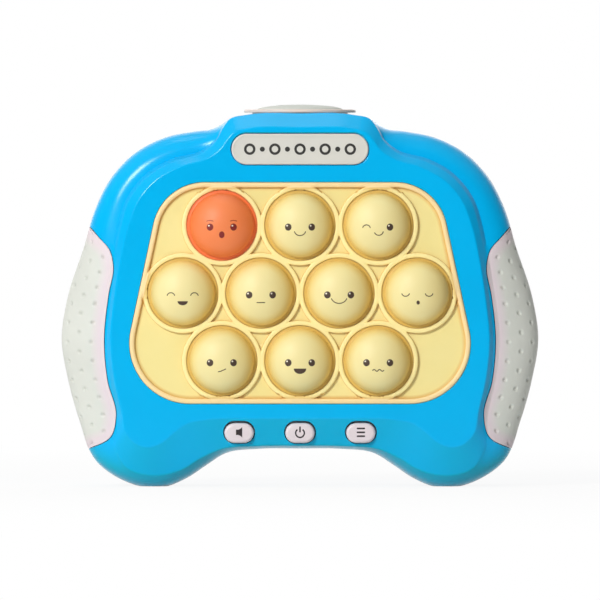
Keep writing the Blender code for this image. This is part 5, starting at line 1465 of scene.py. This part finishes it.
def make_battery_cells(looks):
    """Steel cells in a printed sleeve, each with its nub at the other end from the last."""
    rounding = [(CELL_ROUNDING * (1 - math.sin(t)),
                 CELL_SLEEVE_GAP + CELL_ROUNDING * (1 - math.cos(t))) for t in CELL_EDGE_ANGLES]
    for i in range(CELL_COUNT):
        name = f"battery_cell_{i + 1}"
        low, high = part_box(name)
        side = 1 if i % 2 else -1
        flat_x = low[0] if side > 0 else high[0]
        length = high[0] - low[0]
        body = length - CELL_NUB_LENGTH
        radius = (high[2] - low[2]) / 2 - CELL_SKIN
        core = radius - CELL_CORE_INSET
        skin = radius + CELL_SKIN
        centre = ((low[1] + high[1]) / 2, (low[2] + high[2]) / 2)
        sleeve = [(radius - inset, distance) for inset, distance in rounding]
        sleeve += [(r, body - distance) for r, distance in sleeve[::-1]]
        steel = [(core, 0.0), (core, body), (CELL_NUB_RADIUS, body),
                 (CELL_NUB_RADIUS, length - CELL_SLEEVE_GAP),
                 (CELL_NUB_RADIUS - CELL_SLEEVE_GAP, length)]
        band = [(skin, CELL_BAND_START), (skin, CELL_BAND_END)]
        sleeve, steel, band = [
            turned([(r, flat_x + distance * side) for r, distance in profile], CELL_SIDES,
                   centre, "X") for profile in (sleeve, steel, band)]
        dress(sleeve, name + "_sleeve", looks["cell"], stands_for=[name])
        dress(steel, name + "_steel", looks["steel"])
        dress(band, name + "_band", looks["cell_band"])


# Battery door and screws


def make_battery_door(looks):
    radius = DOOR_THICKNESS / 2
    angles = [math.pi * i / DOOR_KNUCKLE_STEPS for i in range(DOOR_KNUCKLE_STEPS + 1)]
    outline = [(DOOR_AXIS_Y - radius * math.cos(t), DOOR_AXIS_Z - radius * math.sin(t))
               for t in angles]
    outline += [(BACK_Y, DOOR_TOP_Z), (DOOR_INNER_Y, DOOR_TOP_Z)]
    door = prism(outline, -DOOR_HALF_WIDTH, DOOR_HALF_WIDTH, "X")
    bevel = door.modifiers.new("edge", "BEVEL")
    bevel.width = DOOR_EDGE_ROUNDING
    bevel.segments = DOOR_EDGE_STEPS
    bevel.limit_method = "ANGLE"
    bevel.angle_limit = DOOR_EDGE_ANGLE
    apply_modifiers(door)
    root_y = DOOR_INNER_Y + DOOR_TAB_SINK
    back_y = DOOR_INNER_Y - DOOR_TAB_OFFSET
    front_y = back_y - DOOR_TAB_THICKNESS
    top_z = DOOR_BOTTOM_Z + DOOR_TAB_RISE
    low_z = DOOR_BOTTOM_Z - DOOR_TAB_REACH
    root_z = top_z - DOOR_TAB_ROOT
    hook = [(root_y, top_z), (front_y, top_z), (front_y, low_z), (back_y, low_z),
            (back_y, root_z), (root_y, root_z)]
    fuse(door, gather([prism(hook, x - DOOR_TAB_HALF_WIDTH, x + DOOR_TAB_HALF_WIDTH, "X")
                       for x in (DOOR_TAB_X, -DOOR_TAB_X)]))
    hollows = [(grown_stadium(0, DOOR_GROOVE_Z - DOOR_GROOVE_PITCH * i, DOOR_GROOVE_HALF_WIDTH,
                              DOOR_GROOVE_HALF_HEIGHT, GROOVE_SIDES), DOOR_GROOVE_DEPTH)
               for i in range(DOOR_GROOVE_COUNT)]
    hollows.append((grown_circle(0, DOOR_SCREW_Z, DOOR_SCREW_HEAD_RADIUS + GAP, MARK_SIDES),
                    DOOR_SCREW_SINK))
    cut(door, gather([flared_hole(outline_at, BACK_Y, BACK_Y - depth, side=-1,
                                  reach=HOLE_FLARE / 2) for outline_at, depth in hollows]))
    screw_place = (0, DOOR_SCREW_Z)
    cut(door, rod(DOOR_SCREW_SHANK_RADIUS + GAP, DOOR_INNER_Y - OVERRUN, BACK_Y, BOSS_SIDES,
                  screw_place))
    dress(door, "battery_door_panel", looks["casing"], "battery_door",
          ["battery_door"], smooth_angle=35)
    head_y = BACK_Y - DOOR_SCREW_SINK + DOOR_SCREW_HEAD_GAP
    screw = screw_solid(screw_place, DOOR_INNER_Y - DOOR_SCREW_REACH, head_y,
                        DOOR_SCREW_HEAD_HEIGHT - GAP, DOOR_SCREW_SHANK_RADIUS,
                        DOOR_SCREW_HEAD_RADIUS)
    dress(screw, "battery_door_screw", looks["screw"], "battery_door",
          ["door_screw"])


def screw_solid(place, tip_y, head_y, height, shank_radius, head_radius):
    """A screw with a domed head and a cross recess, its head towards +Y."""
    profile = [(shank_radius, tip_y), (shank_radius, head_y), (head_radius, head_y)]
    profile += [(head_radius * wide, head_y + height * high) for wide, high in SCREW_HEAD]
    screw = turned(profile, HOLE_SIDES, place)
    x, z = place
    arm = head_radius * SCREW_CROSS_REACH
    slot = head_radius * SCREW_CROSS_WIDTH
    low_y = head_y + height * SCREW_CROSS_FLOOR
    high_y = head_y + height + OVERRUN
    recess = [box((x - a, low_y, z - b), (x + a, high_y, z + b))
              for a, b in ((arm, slot), (slot, arm))]
    return cut(screw, fuse(*recess))


def make_housing_screws(looks):
    head_y = PARTING_Y + WELL_SEAT + GAP
    for number, place in enumerate(screw_places(), start=1):
        screw = screw_solid(place, head_y - SCREW_LENGTH, head_y, SCREW_HEAD_HEIGHT,
                            SCREW_SHANK_RADIUS, SCREW_HEAD_RADIUS)
        dress(screw, "casing_screw_%d" % number, looks["screw"], "root",
              ["housing_screw_%d" % number])


# Materials


def linear(red, green, blue):
    """A screen colour in 0 to 255 as the linear colour that a shader takes."""
    values = []
    for value in (red, green, blue):
        value = value / 255
        values.append(value / 12.92 if value <= 0.04045 else ((value + 0.055) / 1.055) ** 2.4)
    return (*values, 1.0)


class Nodes:
    """Short calls that add and join the nodes of one material or of the world."""

    def __init__(self, owner):
        owner.use_nodes = True
        self.owner = owner
        self.tree = owner.node_tree
        self.shader = self.tree.nodes.get("Principled BSDF")
        self.places = self.add("ShaderNodeTexCoord").outputs

    def add(self, kind, **values):
        node = self.tree.nodes.new(kind)
        for key, value in values.items():
            setattr(node, key, value)
        return node

    def fill(self, node, **values):
        """Join outputs to the node's inputs, or set them to plain values."""
        for name, value in values.items():
            socket = node.inputs[name.replace("_", " ")]
            if isinstance(value, bpy.types.NodeSocket):
                self.tree.links.new(value, socket)
            else:
                socket.default_value = value

    def set(self, **values):
        self.fill(self.shader, **values)

    def noise(self, size, detail=3.0, roughness=0.5):
        """Noise whose features are about so large, in metres."""
        node = self.add("ShaderNodeTexNoise")
        self.fill(node, Scale=1 / size, Detail=detail, Roughness=roughness,
                  Vector=self.places["Object"])
        return node.outputs["Fac"]

    def kept(self, name):
        """The numbers kept at the piece's points under this name."""
        return self.add("ShaderNodeAttribute", attribute_name=name).outputs["Fac"]

    def part(self, vector, axis):
        node = self.add("ShaderNodeSeparateXYZ")
        self.fill(node, Vector=vector)
        return node.outputs[axis]

    def facing(self, axis):
        """How far the surface turns to the object's X, Y or Z."""
        return self.part(self.places["Normal"], axis)

    def tinted(self, factor, colour):
        """Lay a colour over the base colour, as far as the factor says."""
        base = self.shader.inputs["Base Color"].links[0].from_socket
        self.set(Base_Color=self.blend(factor, base, linear(*colour)))

    def spread(self, value, low, high, start=0.3, end=0.7):
        """The value from start to end, stretched to run from low to high."""
        node = self.add("ShaderNodeMapRange")
        self.fill(node, Value=value, From_Min=start, From_Max=end, To_Min=low, To_Max=high)
        return node.outputs["Result"]

    def blend(self, factor, first, second):
        node = self.add("ShaderNodeMix", data_type="RGBA")
        self.fill(node, Factor=factor, A=first, B=second)
        return node.outputs["Result"]

    def maths(self, operation, first, second):
        node = self.add("ShaderNodeMath", operation=operation)
        self.tree.links.new(first, node.inputs[0])
        self.tree.links.new(second, node.inputs[1])
        return node.outputs["Value"]

    def bump(self, height, depth, **inputs):
        node = self.add("ShaderNodeBump")
        self.fill(node, Height=height, Distance=depth, Strength=1.0, **inputs)
        return node.outputs["Normal"]

    def seen_directly(self):
        """1 where the camera, a reflection or a clear piece shows the surface, otherwise 0."""
        path = self.add("ShaderNodeLightPath").outputs
        either = self.maths("MAXIMUM", path["Is Camera Ray"], path["Is Glossy Ray"])
        return self.maths("MAXIMUM", either, path["Is Transmission Ray"])

    def end_with(self, factor, first, second, output):
        """Mix two shaders and send the result to the output node of this name."""
        mix = self.add("ShaderNodeMixShader")
        self.fill(mix, Fac=factor)
        self.tree.links.new(first, mix.inputs[1])
        self.tree.links.new(second, mix.inputs[2])
        self.fill(self.tree.nodes[output], Surface=mix.outputs["Shader"])


def moulded(name, colour, tint, roughness, grain=0.0003, relief=0.000006, patch=0.02,
            gloss_range=GLOSS_RANGE, **settings):
    """Moulded plastic or rubber: faint patches of another tint, uneven gloss, fine grain."""
    nodes = Nodes(bpy.data.materials.new(name))
    mottle = nodes.spread(nodes.noise(patch, detail=4.0), 0.0, 1.0)
    gloss = nodes.spread(nodes.noise(patch / GLOSS_FINENESS, detail=5.0, roughness=0.6),
                         roughness - gloss_range, roughness + gloss_range)
    fine = nodes.bump(nodes.noise(grain, detail=2.0), relief)
    broad = nodes.bump(nodes.noise(grain * BROAD_GRAIN, detail=2.0), relief * BROAD_RELIEF,
                       Normal=fine)
    nodes.set(Base_Color=nodes.blend(mottle, linear(*colour), linear(*tint)), Roughness=gloss,
              Normal=broad, **settings)
    return nodes


def casing_look():
    """Glossy blue plastic, with painted shade: a little darker and greener where it turns down.
    """
    nodes = moulded("casing_blue", (0, 184, 244), (0, 181, 241), 0.2, grain=0.0006,
                    relief=0.0000004, gloss_range=0.02, Specular_IOR_Level=0.2,
                    Sheen_Weight=0.5, Sheen_Roughness=0.3)
    # Painted shade: the surfaces that face down turn darker and greener.
    nodes.tinted(nodes.spread(nodes.facing("Z"), 0.0, 1.0, -0.08, -0.5), (0, 176, 206))
    return nodes.owner


def grip_look():
    """Pale rubber, pinkish along its inner edge, with painted shade darkening its dimples."""
    nodes = moulded("grip_rubber", (220, 222, 213), (214, 216, 207), 0.5, grain=0.00025,
                    relief=0.00001)
    nodes.tinted(nodes.spread(nodes.kept("from_edge"), 1.0, 0.0, *GRIP_EDGE_TINT),
                 (228, 214, 217))
    # Painted shade in the dimples, deeper where they sink further.
    nodes.tinted(nodes.spread(nodes.kept("sunk"), 0.0, 0.3, 0.05, 1.0), (140, 142, 134))
    return nodes.owner


def pad_look():
    """Soft yellow silicone, peach on the rim, with painted light paling its raised tops and
    painted shade in ochre on its steep flanks and at the rim's foot.
    """
    nodes = moulded("panel_silicone", (248, 232, 156), (244, 227, 147), 0.5, grain=0.0003,
                    relief=0.000008)
    depth = nodes.part(nodes.places["Object"], "Y")
    # Painted light on the raised tops, painted shade on the floor at the rim's foot, the rim's
    # own peach, and painted shade in ochre on the steep flanks.
    for factor, colour in (
            (nodes.spread(depth, 0.0, 1.0, *PAD_PAINTED_LIGHT_Y), (255, 238, 164)),
            (nodes.spread(nodes.kept("rim"), 0.6, 0.0, 1.0, 1.6), (216, 156, 56)),
            (nodes.spread(nodes.kept("rim"), 1.0, 0.0, 0.9, 1.0), (254, 224, 164)),
            (nodes.spread(nodes.facing("Y"), 0.0, 0.9, -0.6, -0.15), (216, 156, 56))):
        nodes.tinted(factor, colour)
    return nodes.owner


def bubble_look(name, crown, side, foot_shade, deep, roughness, glow=0.0):
    """Silicone with painted light and shade: paler on top, and deeper in colour on its flank,
    on its right side and round its foot.
    """
    nodes = Nodes(bpy.data.materials.new(name))
    # Painted light and shade by height on the dome: the colour round the foot is painted shade,
    # and the crown is painted paler.
    ramp = nodes.add("ShaderNodeValToRGB")
    depth = nodes.part(nodes.places["Object"], "Y")
    nodes.fill(ramp, Fac=nodes.spread(depth, 1.0, 0.0, FRONT_Y, DOME_FLANGE_Y))
    stops = ramp.color_ramp.elements
    stops[0].color = linear(*foot_shade)
    stops[1].color = linear(*crown)
    for position, colour in zip(BUBBLE_LIGHT_AND_SHADE_STOPS, (foot_shade, side, side, crown)):
        stops.new(position).color = linear(*colour)
    mottle = nodes.spread(nodes.noise(BUBBLE_PATCH, detail=4.0), 0.0, BUBBLE_MOTTLE)
    colour = nodes.blend(mottle, ramp.outputs["Color"], linear(*side))
    # Painted shade on the flank and on the right side, where the dome turns from the light.
    for axis, share, start, end in (("Y", 0.4, -0.8, -0.3), ("X", 0.45, 0.15, 0.8)):
        colour = nodes.blend(nodes.spread(nodes.facing(axis), 0.0, share, start, end), colour,
                             linear(*deep))
    gloss = nodes.spread(nodes.noise(BUBBLE_GLOSS_PATCH, detail=4.0),
                         roughness - GLOSS_RANGE, roughness + GLOSS_RANGE)
    grain = nodes.bump(nodes.noise(BUBBLE_GRAIN, detail=2.0), BUBBLE_RELIEF)
    nodes.set(Base_Color=colour, Roughness=gloss, Normal=grain)
    if glow:
        nodes.set(Emission_Color=colour, Emission_Strength=glow)
    return nodes.owner


PRINT = {"relief": 0.000002}
METAL = {"grain": 0.0002, "relief": 0.000004, "patch": 0.002, "Metallic": 1.0}
PLAIN_LOOKS = {  # material, colour, second tint, roughness, what differs from the usual grain
    "plate": ("plate_grey", (221, 219, 210), (215, 213, 204), 0.42, {}),
    "key": ("key_white", (234, 222, 225), (228, 215, 219), 0.36, {}),
    "collar": ("collar_beige", (236, 216, 203), (230, 209, 196), 0.4, {}),
    "top_button": ("top_button_grey", (218, 221, 213), (212, 215, 207), 0.6,
                   {"Specular_IOR_Level": 0.08}),
    "ink": ("face_print", (72, 52, 38), (62, 44, 32), 0.5, PRINT),
    "lit_ink": ("lit_face_print", (132, 28, 22), (120, 22, 18), 0.5, PRINT),
    "pale_ink": ("glint_print", (250, 244, 226), (246, 238, 218), 0.4, PRINT),
    "key_ink": ("key_print", (44, 32, 36), (38, 27, 31), 0.45, PRINT),
    "plate_ink": ("plate_print", (50, 48, 45), (44, 42, 39), 0.45, PRINT),
    "plunger": ("clear_plunger", (222, 224, 222), (214, 217, 215), 0.25, {"patch": 0.004}),
    "frame": ("tray_white", (224, 224, 220), (216, 216, 211), 0.5, {}),
    "board": ("board_green", (34, 112, 62), (26, 98, 52), 0.45,
              {"grain": 0.0006, "relief": 0.00001, "patch": 0.003}),
    "speaker": ("speaker_black", (44, 44, 46), (36, 36, 38), 0.55, {"patch": 0.003}),
    "cell": ("cell_sleeve", (52, 54, 60), (44, 46, 52), 0.3, {"patch": 0.006}),
    "cell_band": ("cell_print", (206, 208, 204), (198, 200, 197), 0.32, {"patch": 0.006}),
    "wire": ("wire_red", (176, 30, 26), (160, 24, 22), 0.45, {"patch": 0.003}),
    "steel": ("nickel_plated", (206, 206, 204), (190, 190, 188), 0.28, METAL),
    "screw": ("zinc_plated", (198, 200, 204), (180, 182, 188), 0.34, METAL),
}
SLOT_LOOKS = {
    "casing_plastic": "casing", "grip_rubber": "grip", "plate_plastic": "plate",
    "pad_silicone": "pad", "bubble_silicone": "bubble", "lit_bubble_silicone": "lit_bubble",
    "clear_plunger": "plunger", "key_plastic": "key", "collar_plastic": "collar",
    "top_button_plastic": "top_button", "frame_plastic": "frame", "circuit_board": "board",
    "spring_steel": "steel", "screw_steel": "screw", "contact_steel": "steel",
    "speaker_black": "speaker", "cell_sleeve": "cell", "wire_sleeve": "wire",
}


def make_looks():
    looks = {
        "casing": casing_look(),
        "grip": grip_look(),
        "pad": pad_look(),
        # Bubble colours: crown, flank, foot and shaded side, painted light and shade over the
        # dome.
        "bubble": bubble_look("bubble_silicone", (244, 229, 163), (242, 220, 144),
                              (214, 174, 78), (234, 192, 88), 0.5),
        "lit_bubble": bubble_look("lit_bubble_silicone", (238, 130, 74), (236, 118, 58),
                                  (234, 112, 54), (236, 114, 52), 0.5, glow=0.08),
    }
    for key, (name, colour, tint, roughness, settings) in PLAIN_LOOKS.items():
        looks[key] = moulded(name, colour, tint, roughness, **settings).owner
    return looks


def dress_inner_nodes(looks):
    """The pieces kept from the frame get the finish of their slot."""
    for entry in frame["record"]["subparts"]:
        look = looks[SLOT_LOOKS[entry["material_slot"]]]
        node = frame["nodes"][entry["node"]]
        for material_slot in node.material_slots:
            material_slot.material = look


# Stage, light and camera


def make_stage():
    """A wide pale floor that melts into the white surroundings away from the object."""
    mesh = bpy.data.meshes.new("floor")
    mesh.from_pydata([(-FLOOR_REACH, FLOOR_FRONT, 0), (FLOOR_REACH, FLOOR_FRONT, 0),
                      (FLOOR_REACH, FLOOR_REACH, 0), (-FLOOR_REACH, FLOOR_REACH, 0)],
                     [], [(0, 1, 2, 3)])
    nodes = moulded("floor_white", (244, 244, 244), (240, 240, 240), 0.8, grain=0.002,
                    relief=0.00002, patch=0.3)
    distance = nodes.add("ShaderNodeVectorMath", operation="LENGTH")
    nodes.fill(distance, Vector=nodes.places["Object"])
    away = nodes.spread(distance.outputs["Value"], FLOOR_GLOW_NEAR, 1.0, *FLOOR_GLOW_RANGE)
    glow = nodes.add("ShaderNodeEmission")
    nodes.end_with(nodes.maths("MULTIPLY", nodes.seen_directly(), away),
                   nodes.shader.outputs["BSDF"], glow.outputs["Emission"], "Material Output")
    mesh.materials.append(nodes.owner)
    floor = add_object("floor", mesh)


def add_lamp(name, place, size, power):
    lamp = bpy.data.lights.new(name, "AREA")
    lamp.shape = "RECTANGLE"
    lamp.size, lamp.size_y = size
    lamp.energy = power
    holder = add_object(name, lamp)
    holder.location = place
    direction = Vector(AIM) - Vector(place)
    holder.rotation_euler = direction.to_track_quat("-Z", "Y").to_euler()


def make_light():
    """A soft grey room that is lighter on the left. The camera sees it white, and a reflection
    shows it dark in front, and white behind and overhead."""
    world = bpy.data.worlds.new("studio")
    bpy.context.scene.world = world
    nodes = Nodes(world)
    place = nodes.places["Generated"]
    behind = nodes.spread(nodes.part(place, "Y"), DARK_FRONT, 1.0, 0.0, 0.8)
    overhead = nodes.spread(nodes.part(place, "Z"), DARK_FRONT, 1.0, 0.3, 0.85)
    lightest = nodes.maths("MAXIMUM", behind, overhead)
    camera_ray = nodes.add("ShaderNodeLightPath").outputs["Is Camera Ray"]
    room = nodes.tree.nodes["Background"]
    strength = nodes.spread(nodes.part(place, "X"), WORLD_LEFT, WORLD_RIGHT, -1.0, 1.0)
    nodes.fill(room, Color=(1, 1, 1, 1), Strength=strength)
    seen = nodes.add("ShaderNodeBackground")
    nodes.fill(seen, Color=nodes.maths("MAXIMUM", lightest, camera_ray))
    nodes.end_with(nodes.seen_directly(), room.outputs["Background"],
                   seen.outputs["Background"], "World Output")
    for lamp in LAMPS:
        add_lamp(*lamp)


def make_camera():
    camera = bpy.data.cameras.new("camera")
    holder = add_object("camera", camera)
    elevation = math.radians(CAMERA_ELEVATION)
    offset = Vector((0, -math.cos(elevation), math.sin(elevation))) * CAMERA_DISTANCE
    holder.location = Vector(AIM) + offset
    holder.rotation_euler = (-offset).to_track_quat("-Z", "Y").to_euler()
    camera.sensor_width = CAMERA_SENSOR
    camera.lens = CAMERA_SENSOR * (CAMERA_DISTANCE + FACE_Y) / CAMERA_FRAME
    camera.clip_end = CAMERA_REACH
    bpy.context.scene.camera = holder
    bpy.context.scene.view_settings.view_transform = "Standard"


def main():
    looks = make_looks()
    dress_inner_nodes(looks)
    make_front_shell(looks["casing"])
    make_rear_shell(looks["casing"])
    make_parting_tongue(looks["casing"])
    make_grips(looks["grip"])
    make_bubble_pad(looks["pad"])
    make_bubbles(looks)
    make_name_plate(looks)
    make_keys(looks)
    make_top_button(looks)
    make_top_button_spring(looks["steel"])
    make_battery_cells(looks)
    make_battery_door(looks)
    make_housing_screws(looks)
    make_stage()
    make_light()
    make_camera()


main()
